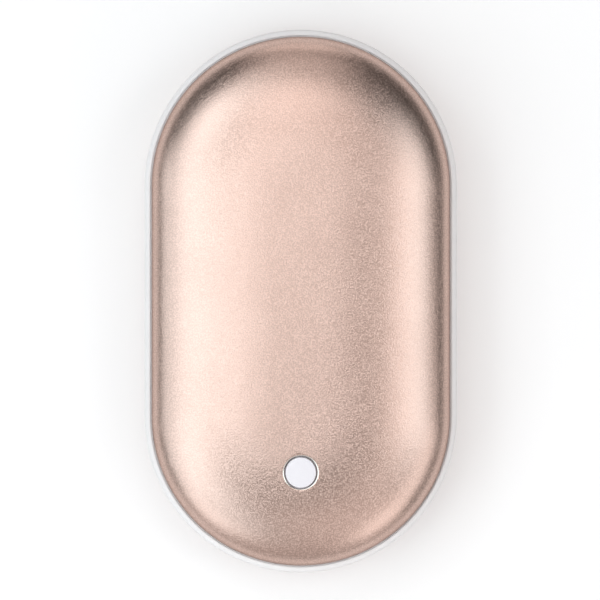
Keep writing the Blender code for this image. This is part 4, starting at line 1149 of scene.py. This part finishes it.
# %% [markdown]
# ## Chips
#
# A chip is a moulded body between two rows of bent legs. The body's mould has drafted sides, so
# it is widest at half height, and a small round dimple marks its first leg. One function makes
# any of them from its node's box, right way up or hanging under the board.

# %% Chips
LEG_WIDTH = 0.4 * MM
LEG_THICK = 0.15 * MM
LEG_PITCH = 1.27 * MM
KNEE_REACH = 0.25 * MM
BODY_SHARE = 0.66
DRAFT = 0.12 * MM
BODY_EASE = DRAFT / 3
DIMPLE_RADIUS = 0.3 * MM
DIMPLE_IN, DIMPLE_DOWN = 0.7 * MM, 0.8 * MM
PAD_WIDTH = 1.4 * LEG_WIDTH
SOLDER_THICK = 0.05 * MM
SOLDER_SINK = 0.01 * MM
SOLDER_REACH = 0.25 * MM
solder = bmesh.new()


def solder_pad(side, face, up, across, along):
    """A flat of solder on the board's face, that reaches out past a part's end."""
    start = across[0] + side * SOLDER_REACH
    sunk, top = face - up * SOLDER_SINK, face + up * SOLDER_THICK
    box(solder, (start, along[0], sunk), (across[1], along[1], top))


def drafted(low, high):
    """A moulded body that is widest at half its height."""
    shape = bmesh.new()
    box(shape, low, high)
    upright = [edge for edge in shape.edges if runs_along(edge, 2)]
    bmesh.ops.subdivide_edges(shape, edges=upright, cuts=1)
    middle = Vector(((low[0] + high[0]) / 2, (low[1] + high[1]) / 2, 0))
    for point in shape.verts:
        if min(point.co.z - low[2], high[2] - point.co.z) < MERGE:
            point.co.x -= math.copysign(DRAFT, point.co.x - middle.x)
            point.co.y -= math.copysign(DRAFT, point.co.y - middle.y)
    round_off(shape, shape.edges[:], BODY_EASE, 2)
    return shape


def chip(node, legs, flipped=False):
    """A chip with legs along its two long sides, in its node's box."""
    low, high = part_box(node)
    middle = (low + high) / 2
    half = (high.x - low.x) / 2 * BODY_SHARE
    foot = high.z if flipped else low.z
    face = low.z if flipped else high.z
    up = -1 if flipped else 1
    clear = foot + up * LEG_THICK
    level = (foot + face) / 2
    under, over = sorted((clear, face))
    body = drafted((middle.x - half, low.y, under), (middle.x + half, high.y, over))
    dimple = bmesh.new()
    ball(dimple, (middle.x - half + DIMPLE_IN, high.y - DIMPLE_DOWN, face), DIMPLE_RADIUS)
    body = combined(body, "DIFFERENCE", dimple)
    add_piece(f"{node}_body", body, package, "case", [node])
    metal = bmesh.new()
    for number in range(legs):
        y = middle.y + (number - (legs - 1) / 2) * LEG_PITCH
        for side in (-1, 1):
            edge = middle.x + side * half
            outside = middle.x + side * (high.x - middle.x)
            knee = edge + side * KNEE_REACH
            parts = (
                ((edge - side * DRAFT, level - LEG_THICK / 2), (knee, level + LEG_THICK / 2)),
                ((knee - side * LEG_THICK, foot), (knee, level)),
                ((knee - side * LEG_THICK, foot), (outside, foot + up * LEG_THICK)),
            )
            for (x1, z1), (x2, z2) in parts:
                box(metal, (x1, y - LEG_WIDTH / 2, z1), (x2, y + LEG_WIDTH / 2, z2))
            ends = (y - PAD_WIDTH / 2, y + PAD_WIDTH / 2)
            solder_pad(side, foot, up, (outside, knee), ends)
    add_piece(f"{node}_legs", metal, tinned, "case", [node])


chip("controller_chip", 3)
chip("charger_chip", 3, flipped=True)
chip("heater_mosfet", 4, flipped=True)

# %% [markdown]
# ## Capacitors, lamps and the inductor
#
# These are small blocks with soldered ends. The ceramic is a little thinner than its metal end
# caps. A lamp is a clear lens on a white base, and the inductor is a pressed ferrite block with
# two clips bent round its sides.

# %% Capacitors and lamps
END_CAP = 0.35 * MM
CAP_OVER = 0.04 * MM
END_ROUNDING = 0.06 * MM
CLOUD_SIZE = 0.3 * MM
BASE_SHARE = 0.4
BASE_ROUNDING = 0.05 * MM
LENS_INSET = Vector((0.3 * MM, 0.04 * MM, 0))
LENS_EASE = 0.12 * MM


def two_ends(node):
    """Metal caps round the two ends of a part, along X."""
    low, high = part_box(node)
    metal = bmesh.new()
    for near, far in ((low.x, low.x + END_CAP), (high.x - END_CAP, high.x)):
        corners = (near, low.y, low.z), (far, high.y, high.z)
        add_shape(metal, rounded_box(*corners, END_ROUNDING, (0, 1, 2), 2))
    return metal


lens = Finish("lamp_lens", coat_weight=1.0, coat_roughness=0.05)
cloud = lens.noise(CLOUD_SIZE, detail=3)
lens.paint(cloud, (0.74, 0.70, 0.52), (0.82, 0.80, 0.66), 0.18 + cloud * 0.1)
for node in ("input_capacitor", "output_capacitor"):
    low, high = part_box(node)
    inset = Vector((END_CAP / 2, CAP_OVER, CAP_OVER))
    block = rounded_box(low + inset, high - inset, CAP_OVER, (0, 1, 2), 2)
    add_piece(f"{node}_body", block, ceramic, "case", [node])
    add_piece(f"{node}_ends", two_ends(node), tinned, "case", [node])
for node in ("status_led_left", "status_led_right"):
    low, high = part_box(node)
    level = low.z + (high.z - low.z) * BASE_SHARE
    base = rounded_box(low, (high.x, high.y, level), BASE_ROUNDING, (2,), 2)
    add_piece(f"{node}_base", base, socket_white, "case", [node])
    dome = rounded_box(Vector((*low.xy, level)) + LENS_INSET, high - LENS_INSET, LENS_EASE, (0, 1), 4)
    add_piece(f"{node}_lens", dome, lens.material, "case", [node])

# %% The inductor and the solder
INDUCTOR_INSET = Vector((0.1 * MM, 0, 0))
INDUCTOR_ROUNDING = 0.8 * MM
INDUCTOR_EASE = 0.15 * MM
CLIP_HALF = 1.5 * MM
CLIP_THICK = 0.12 * MM
CLIP_UNDER = 1.4 * MM
CLIP_BELOW, CLIP_ABOVE = 0.04 * MM, 0.02 * MM

low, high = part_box("boost_inductor")
middle = (low + high) / 2
block = rounded_box(low + INDUCTOR_INSET, high - INDUCTOR_INSET, INDUCTOR_ROUNDING, (2,), 6)
level_edges = [edge for edge in block.edges if abs(edge.verts[0].co.z - edge.verts[1].co.z) < MERGE]
round_off(block, level_edges, INDUCTOR_EASE, 2)
add_piece("inductor_block", block, ferrite, "case", ["boost_inductor"])
clips = bmesh.new()
for side, outside in ((-1, low.x), (1, high.x)):
    for depth, under, over in (
        (CLIP_THICK, low.z, middle.z), (CLIP_UNDER, low.z - CLIP_BELOW, low.z + CLIP_ABOVE),
    ):
        inner = outside - side * depth
        box(clips, (outside, middle.y - CLIP_HALF, under), (inner, middle.y + CLIP_HALF, over))
add_piece("inductor_clips", clips, tinned, "case", ["boost_inductor"])
for node in (
    "input_capacitor", "output_capacitor", "status_led_left", "status_led_right", "boost_inductor"
):
    low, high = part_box(node)
    up = 1 if low.z > board_low.z else -1
    face = board_high.z if up == 1 else board_low.z
    for side, end in ((-1, low.x), (1, high.x)):
        solder_pad(side, face, up, (end, end - side * END_CAP), (low.y, high.y))
add_piece("solder_pads", solder, tinned, "case", [])

# %% [markdown]
# ## The switch
#
# Under the button's post sits a push switch: a moulded well, a steel lid held by four pegs, the
# stem that the post pushes and the snap dome that clicks. The stem rides on its own body.

# %% Switch
HOUSING_ROUNDING = 0.35 * MM
WELL_RADIUS = 2.5 * MM
WELL_FLOOR = 0.9 * MM
LID_HOLE_RADIUS = 2.05 * MM
PEG_PLACE = 2.45 * MM
PEG_RADIUS = 0.42 * MM
PEG_SQUASH = (1, 1, 0.45)
STEM_RADIUS = 1.75 * MM
STEM_EASE = 0.25 * MM
STEM_ROOM = 0.3 * MM
middle = centre("switch_body")


def bored(low, high, floor, radius):
    """A block with round upright edges and a round hole down to a floor."""
    hole = bmesh.new()
    rod(hole, (*middle.xy, floor), (*middle.xy, high.z + MM), radius)
    block = rounded_box(low, high, HOUSING_ROUNDING, (2,), 4)
    return combined(block, "DIFFERENCE", hole)


low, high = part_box("switch_body")
housing = bored(low, high, low.z + WELL_FLOOR, WELL_RADIUS)
add_piece("switch_housing", housing, black_plastic, "case", ["switch_body"])
lid_low, lid_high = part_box("switch_cover")
lid = bored(lid_low, lid_high, lid_low.z - MM, LID_HOLE_RADIUS)
add_piece("switch_lid", lid, tinned, "case", ["switch_cover"])
pegs = bmesh.new()
for side, end in CORNERS:
    spot = (middle.x + side * PEG_PLACE, middle.y + end * PEG_PLACE, lid_high.z)
    ball(pegs, spot, PEG_RADIUS, PEG_SQUASH)
add_piece("switch_pegs", pegs, black_plastic, "case", [])
low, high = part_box("switch_stem")
foot = high.x - middle.x
foot_top = lid_low.z - STEM_ROOM
stem = turned([
    (0, high.z), *arc((STEM_RADIUS - STEM_EASE, high.z - STEM_EASE), STEM_EASE, QUARTER_TURN, 0, 4),
    (STEM_RADIUS, foot_top), (foot, foot_top), (foot, low.z), (0, low.z),
])
bmesh.ops.translate(stem, verts=stem.verts, vec=(*middle.xy, 0))
add_piece("switch_plunger", stem, black_plastic, "stem", ["switch_stem"])

# %% [markdown]
# ## Foam pads
#
# Two pads of open-cell foam press the front film against the shell. Each follows the crown, so
# it starts as a flat grid that is lifted to the right height, then gets its thickness and soft
# edges. Foam is full of small holes, which a cell texture sinks in the bump and paints darker,
# a painted shade in the holes.

# %% Foam pads
FOAM_DEPTH = 1.72 * MM
FOAM_THICK = 1.08 * MM
FOAM_EASE = 0.25 * MM
FOAM_STEPS = (24, 60)
FOAM_CELL = 0.45 * MM
PORE_DEPTH = 0.12 * MM

foam = Finish("foam_grey")
pores_and_shade = foam.ramp(foam.cells(FOAM_CELL, "F1"), [(0.15, 0.0), (0.5, 1.0)])
# The holes are painted darker than the foam, a painted shade in them.
foam.paint(pores_and_shade, (0.012, 0.012, 0.013), (0.07, 0.07, 0.074), 0.95)
foam.bump(pores_and_shade, PORE_DEPTH)
for node in ("foam_pad_upper", "foam_pad_lower"):
    low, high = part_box(node)
    pad = bmesh.new()
    bmesh.ops.create_grid(pad, x_segments=FOAM_STEPS[0], y_segments=FOAM_STEPS[1], size=0.5)
    place = Matrix.Translation((*centre(node).xy, 0)) @ Matrix.Diagonal((*(high - low).xy, 1, 1))
    bmesh.ops.transform(pad, matrix=place, verts=pad.verts)
    for point in pad.verts:
        beyond = max(abs(point.co.y) - SPINE, 0)
        point.co.z = crown_height(math.hypot(point.co.x, beyond)) - FOAM_DEPTH
    lifted = bmesh.ops.extrude_face_region(pad, geom=pad.faces[:])["geom"]
    underside = [part for part in lifted if isinstance(part, bmesh.types.BMVert)]
    bmesh.ops.translate(pad, verts=underside, vec=(0, 0, -FOAM_THICK))
    bmesh.ops.recalc_face_normals(pad, faces=pad.faces)
    border = [edge for edge in pad.edges if edge.calc_face_angle() > STEEP]
    round_off(pad, border, FOAM_EASE, 3)
    made = add_piece(f"{node}_soft", pad, foam.material, "case", [node])

# %% [markdown]
# ## The circuit board
#
# A board is glass cloth under a green mask. Copper runs below the mask show as paler, slightly
# raised lines at right angles and diagonals, and tinned holes join the two sides. The borders of
# cells measured by their longer side run just like that, so two cell textures draw the copper.
# The board's cut edges show the yellow glass, and a point's height tells whether it lies there.

# %% Finish of the board
COPPER_CELL = 2.6 * MM
COPPER_RISE = 0.03 * MM
HOLE_CELL = 1.9 * MM
CLOTH_SIZE = 0.5 * MM
MASK_THICK = 0.06 * MM

board = Finish("board_green", coat_weight=0.4, coat_roughness=0.12)
second, first = (board.cells(COPPER_CELL, feature, "CHEBYCHEV") for feature in ("F2", "F1"))
copper = board.ramp(second - first, [(0.0, 1.0), (0.09, 1.0), (0.11, 0.0)])
spots = board.cells(HOLE_CELL, "F1")
holes = board.ramp(spots, [(0.0, 0.0), (0.05, 0.0), (0.06, 1.0), (0.13, 1.0), (0.15, 0.0)])
from_middle = abs(board.axis("Z") - (board_low.z + board_high.z) / 2)
masked = from_middle > (board_high.z - board_low.z) / 2 - MASK_THICK
green = board.blend(copper, (0.008, 0.085, 0.035), (0.018, 0.20, 0.075))
green = board.blend(holes, green, (0.62, 0.60, 0.55))
cloth = board.noise(CLOTH_SIZE, stretch=(1, 1, 0.2))
glass = board.blend(cloth, (0.42, 0.36, 0.16), (0.60, 0.54, 0.30))
board.paint(masked, glass, green, 0.42 - copper * 0.08 + cloth * 0.12)
board.set("Metallic", holes * masked)
board.bump(copper + holes, COPPER_RISE)
print("board from", board_low, "to", board_high)

# %% [markdown]
# ## Heater films
#
# A heater is a track of thin metal between two sheets of amber film. The track goes to and fro
# across the whole film, so that it warms evenly. What one sees are the bare gaps: each gap
# starts at one side and stops short of the other, turn and turn about. A row's number, which is
# its distance along the case over the pitch, gives both the gap and the side that it starts at.

# %% Finish of the heater films
TRACK_PITCH = 2.1 * MM
TRACK_RISE = 0.02 * MM
GAP_SHARE = 0.24
FILM_MARGIN = 0.9 * MM
FILM_HAZE = 4 * MM

film_low, film_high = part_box("heater_film_front")
film = Finish("heater_amber", coat_weight=0.7, coat_roughness=0.1)
across, along = film.axis("X"), film.axis("Y")
row = (along - film_low.y) * (1 / TRACK_PITCH)
in_gap = row % 1 < GAP_SHARE
odd_row = row * 0.5 % 1 > 0.5
turn = film_high.x - FILM_MARGIN - TRACK_PITCH * (1 - GAP_SHARE)
gap = in_gap * (odd_row * (across < turn) + (1 - odd_row) * (across > -turn))
inside = abs(across) < film_high.x - FILM_MARGIN
inside = inside * (along > film_low.y + FILM_MARGIN) * (along < film_high.y - FILM_MARGIN)
track = inside * (1 - gap)
haze = film.noise(FILM_HAZE, detail=3)
amber = film.blend(haze, (0.50, 0.20, 0.035), (0.66, 0.30, 0.06))
etched = film.blend(haze, (0.27, 0.13, 0.055), (0.36, 0.18, 0.075))
film.paint(track, amber, etched, 0.24 + haze * 0.12)
film.set("Metallic", track * 0.55)
film.bump(track, TRACK_RISE)
print(round((film_high.y - film_low.y) / TRACK_PITCH), "rows of track")

# %% [markdown]
# ## Wires and the last of the frame's own nodes
#
# The nodes whose shape is already right stay as they are, and only get their finish: the wires,
# the moulded frame inside, the board, the films and the snap dome. A node's material slots
# belong to its object, so the new material goes into each slot.

# %% Finishes of the nodes that stay
WIRE_GRAIN = 0.15 * MM

red_wire = moulded("wire_red", (0.46, 0.016, 0.012), (0.64, 0.034, 0.024), 0.32, WIRE_GRAIN)
black_wire = moulded("wire_black", (0.012, 0.012, 0.013), (0.034, 0.034, 0.036), 0.34, WIRE_GRAIN)
white_wire = moulded("wire_white", (0.66, 0.65, 0.61), (0.79, 0.78, 0.75), 0.36, WIRE_GRAIN)
sensor_wire = moulded("wire_sensor", (0.55, 0.36, 0.07), (0.74, 0.53, 0.12), 0.28, WIRE_GRAIN)
for finish, names in (
    (black_plastic, ("button_bridge", "cell_cradle", "cell_strap")),
    (board.material, ("main_board",)),
    (film.material, ("heater_film_front", "heater_film_rear")),
    (red_wire, ("battery_lead_red",)),
    (black_wire, ("battery_lead_black",)),
    (white_wire, (
        "heater_lead_front_1", "heater_lead_front_2", "heater_lead_rear_1", "heater_lead_rear_2",
    )),
    (sensor_wire, ("thermistor",)),
    (nickel, ("switch_dome",)),
):
    for name in names:
        for slot in nodes[name].material_slots:
            slot.material = finish
    print(finish.name, "on", ", ".join(names))

# %% [markdown]
# ## Camera, light and floor
#
# The photograph looks straight at the front face from far off, so a long lens looks straight
# down. The case is 105 mm long and fills 543 of the picture's 600 pixels, a pixel or so below
# and right of the picture's middle, so the camera aims a hair up and left.

# %% The camera
PICTURE = 600
CASE_PIXELS = 543
LENS = 500
SENSOR = 36
AIM = (-0.15 * MM, 0.22 * MM)
frame_width = (whole_high.y - whole_low.y) * PICTURE / CASE_PIXELS
distance = frame_width * LENS / SENSOR
camera_data = bpy.data.cameras.new("camera")
camera_data.lens = LENS
camera_data.sensor_width = SENSOR
camera_data.clip_start = 0.01
camera_data.clip_end = 20
camera = bpy.data.objects.new("camera", camera_data)
camera.location = (*AIM, MID + BAND_HALF + distance)
bpy.context.scene.collection.objects.link(camera)
bpy.context.scene.camera = camera
print(f"camera {camera.location.z:.3f} m above the floor, picture {frame_width / MM:.1f} mm wide")

# %% [markdown]
# The floor is a white cove: a wide disc that turns up into a low wall far away, so that every
# view ends in white. Part of its white is light of its own that only the camera and mirror-like
# surfaces see. The rest is a plain diffuse colour, which keeps the object's shadow. It is a
# hair warmer than white, because the lamps together are a hair cool.

# %% The floor
COVE_RADIUS = 3.0
COVE_BEND = 0.5
COVE_STEPS = 12
FLOOR_WHITE = (0.705, 0.685, 0.68)
FLOOR_OWN_LIGHT = 0.33

floor_finish = Finish(
    "floor_white", base_color=FLOOR_WHITE, roughness=1.0, emission_strength=FLOOR_OWN_LIGHT
)
floor_finish.set("Specular IOR Level", 0.0)
camera_ray, glossy_ray, clear_ray = (
    floor_finish.node("ShaderNodeLightPath", {}, {}, f"Is {kind} Ray")
    for kind in ("Camera", "Glossy", "Transmission")
)
seen = camera_ray + glossy_ray + clear_ray
floor_finish.set("Emission Color", floor_finish.blend(seen, (0, 0, 0), (1, 1, 1)))
cove = turned([(0, 0), *arc((COVE_RADIUS, COVE_BEND), COVE_BEND, -QUARTER_TURN, 0, COVE_STEPS)])
bmesh.ops.reverse_faces(cove, faces=cove.faces)
cove_mesh = bpy.data.meshes.new("floor")
cove.to_mesh(cove_mesh)
cove.free()
cove_mesh.materials.append(floor_finish.material)
cove_mesh.shade_smooth()
floor = bpy.data.objects.new("floor", cove_mesh)
bpy.context.scene.collection.objects.link(floor)

# %% [markdown]
# The photograph's metal tells where its lamps stood: a broad bright wall of light on the left,
# a narrower one on the right, weak ones beyond the two ends, and a strip nearly overhead. The
# crown mirrors them in order, so each stretch of the shell answers to one lamp. The left ones
# are slightly cool and most others slightly warm. A lamp's power grows with its area, so the
# table gives what matters to the eye, the brightness of its face, and the function works out
# the power. Azimuth and elevation say where a lamp stands, and reach and rise are half of its
# width and height as seen from the case, all in degrees.

# %% Softboxes
LAMP_DISTANCE = 0.7
POWER_PER_BRIGHTNESS = 4
WORLD_LIGHT = 0.03
NEUTRAL = (1.0, 1.0, 1.0)
COOL = (0.9, 1.0, 1.045)
WARM = (1.06, 1.0, 0.98)


def softbox(name, azimuth, elevation, size, brightness, colour):
    """A rectangular lamp in a direction from the case, turned to face it."""
    data = bpy.data.lights.new(name, "AREA")
    data.color = colour
    data.shape = "RECTANGLE"
    data.size, data.size_y = size
    data.energy = POWER_PER_BRIGHTNESS * size[0] * size[1] * brightness
    made = bpy.data.objects.new(name, data)
    level = math.cos(math.radians(elevation))
    away = Vector((
        level * math.cos(math.radians(azimuth)), level * math.sin(math.radians(azimuth)),
        math.sin(math.radians(elevation)),
    ))
    made.location = Vector((0, 0, MID)) + LAMP_DISTANCE * away
    made.rotation_euler = away.to_track_quat("Z", "Y").to_euler()
    made.visible_camera = False
    bpy.context.scene.collection.objects.link(made)


for name, azimuth, elevation, reach, rise, brightness, colour in (
    ("left_low", 200, 31, 38, 13, 1.14, COOL),
    ("left_high", 180, 57, 45, 13, 1.68, COOL),
    ("upper_left", 127, 54, 16, 10, 1.2, COOL),
    ("lower_left", 240, 44, 14, 12, 0.83, COOL),
    ("overhead_left", 150, 76, 65, 9, 0.25, WARM),
    ("overhead_far_left", 190, 79, 30, 8, 2.15, COOL),
    ("zenith", 110, 85, 60, 5, 1.3, WARM),
    ("right_overhead", 0, 68, 25, 7, 1.25, WARM),
    ("right_high", 5, 53, 28, 11, 1.7, COOL),
    ("right_low", 325, 33, 32, 11, 1.22, NEUTRAL),
    ("near_high", 290, 57, 32, 15, 0.6, WARM),
    ("near_low", 265, 24, 50, 17, 0.42, WARM),
    ("far_overhead", 90, 68, 25, 8, 1.5, WARM),
    ("far_high", 90, 42, 20, 11, 0.65, WARM),
    ("far_low", 90, 14, 18, 8, 1.0, WARM),
):
    level = math.cos(math.radians(elevation))
    wide = 2 * LAMP_DISTANCE * math.tan(math.radians(reach)) * level
    high = 2 * LAMP_DISTANCE * math.tan(math.radians(rise))
    softbox(name, azimuth, elevation, (wide, high), brightness, colour)

world = bpy.data.worlds.new("studio")
world.use_nodes = True
bpy.context.scene.world = world
background = world.node_tree.nodes["Background"]
background.inputs["Color"].default_value = (1, 1, 1, 1)
background.inputs["Strength"].default_value = WORLD_LIGHT
print(len(bpy.data.lights), "lamps")

# %% The view transform
bpy.context.scene.view_settings.view_transform = "Standard"
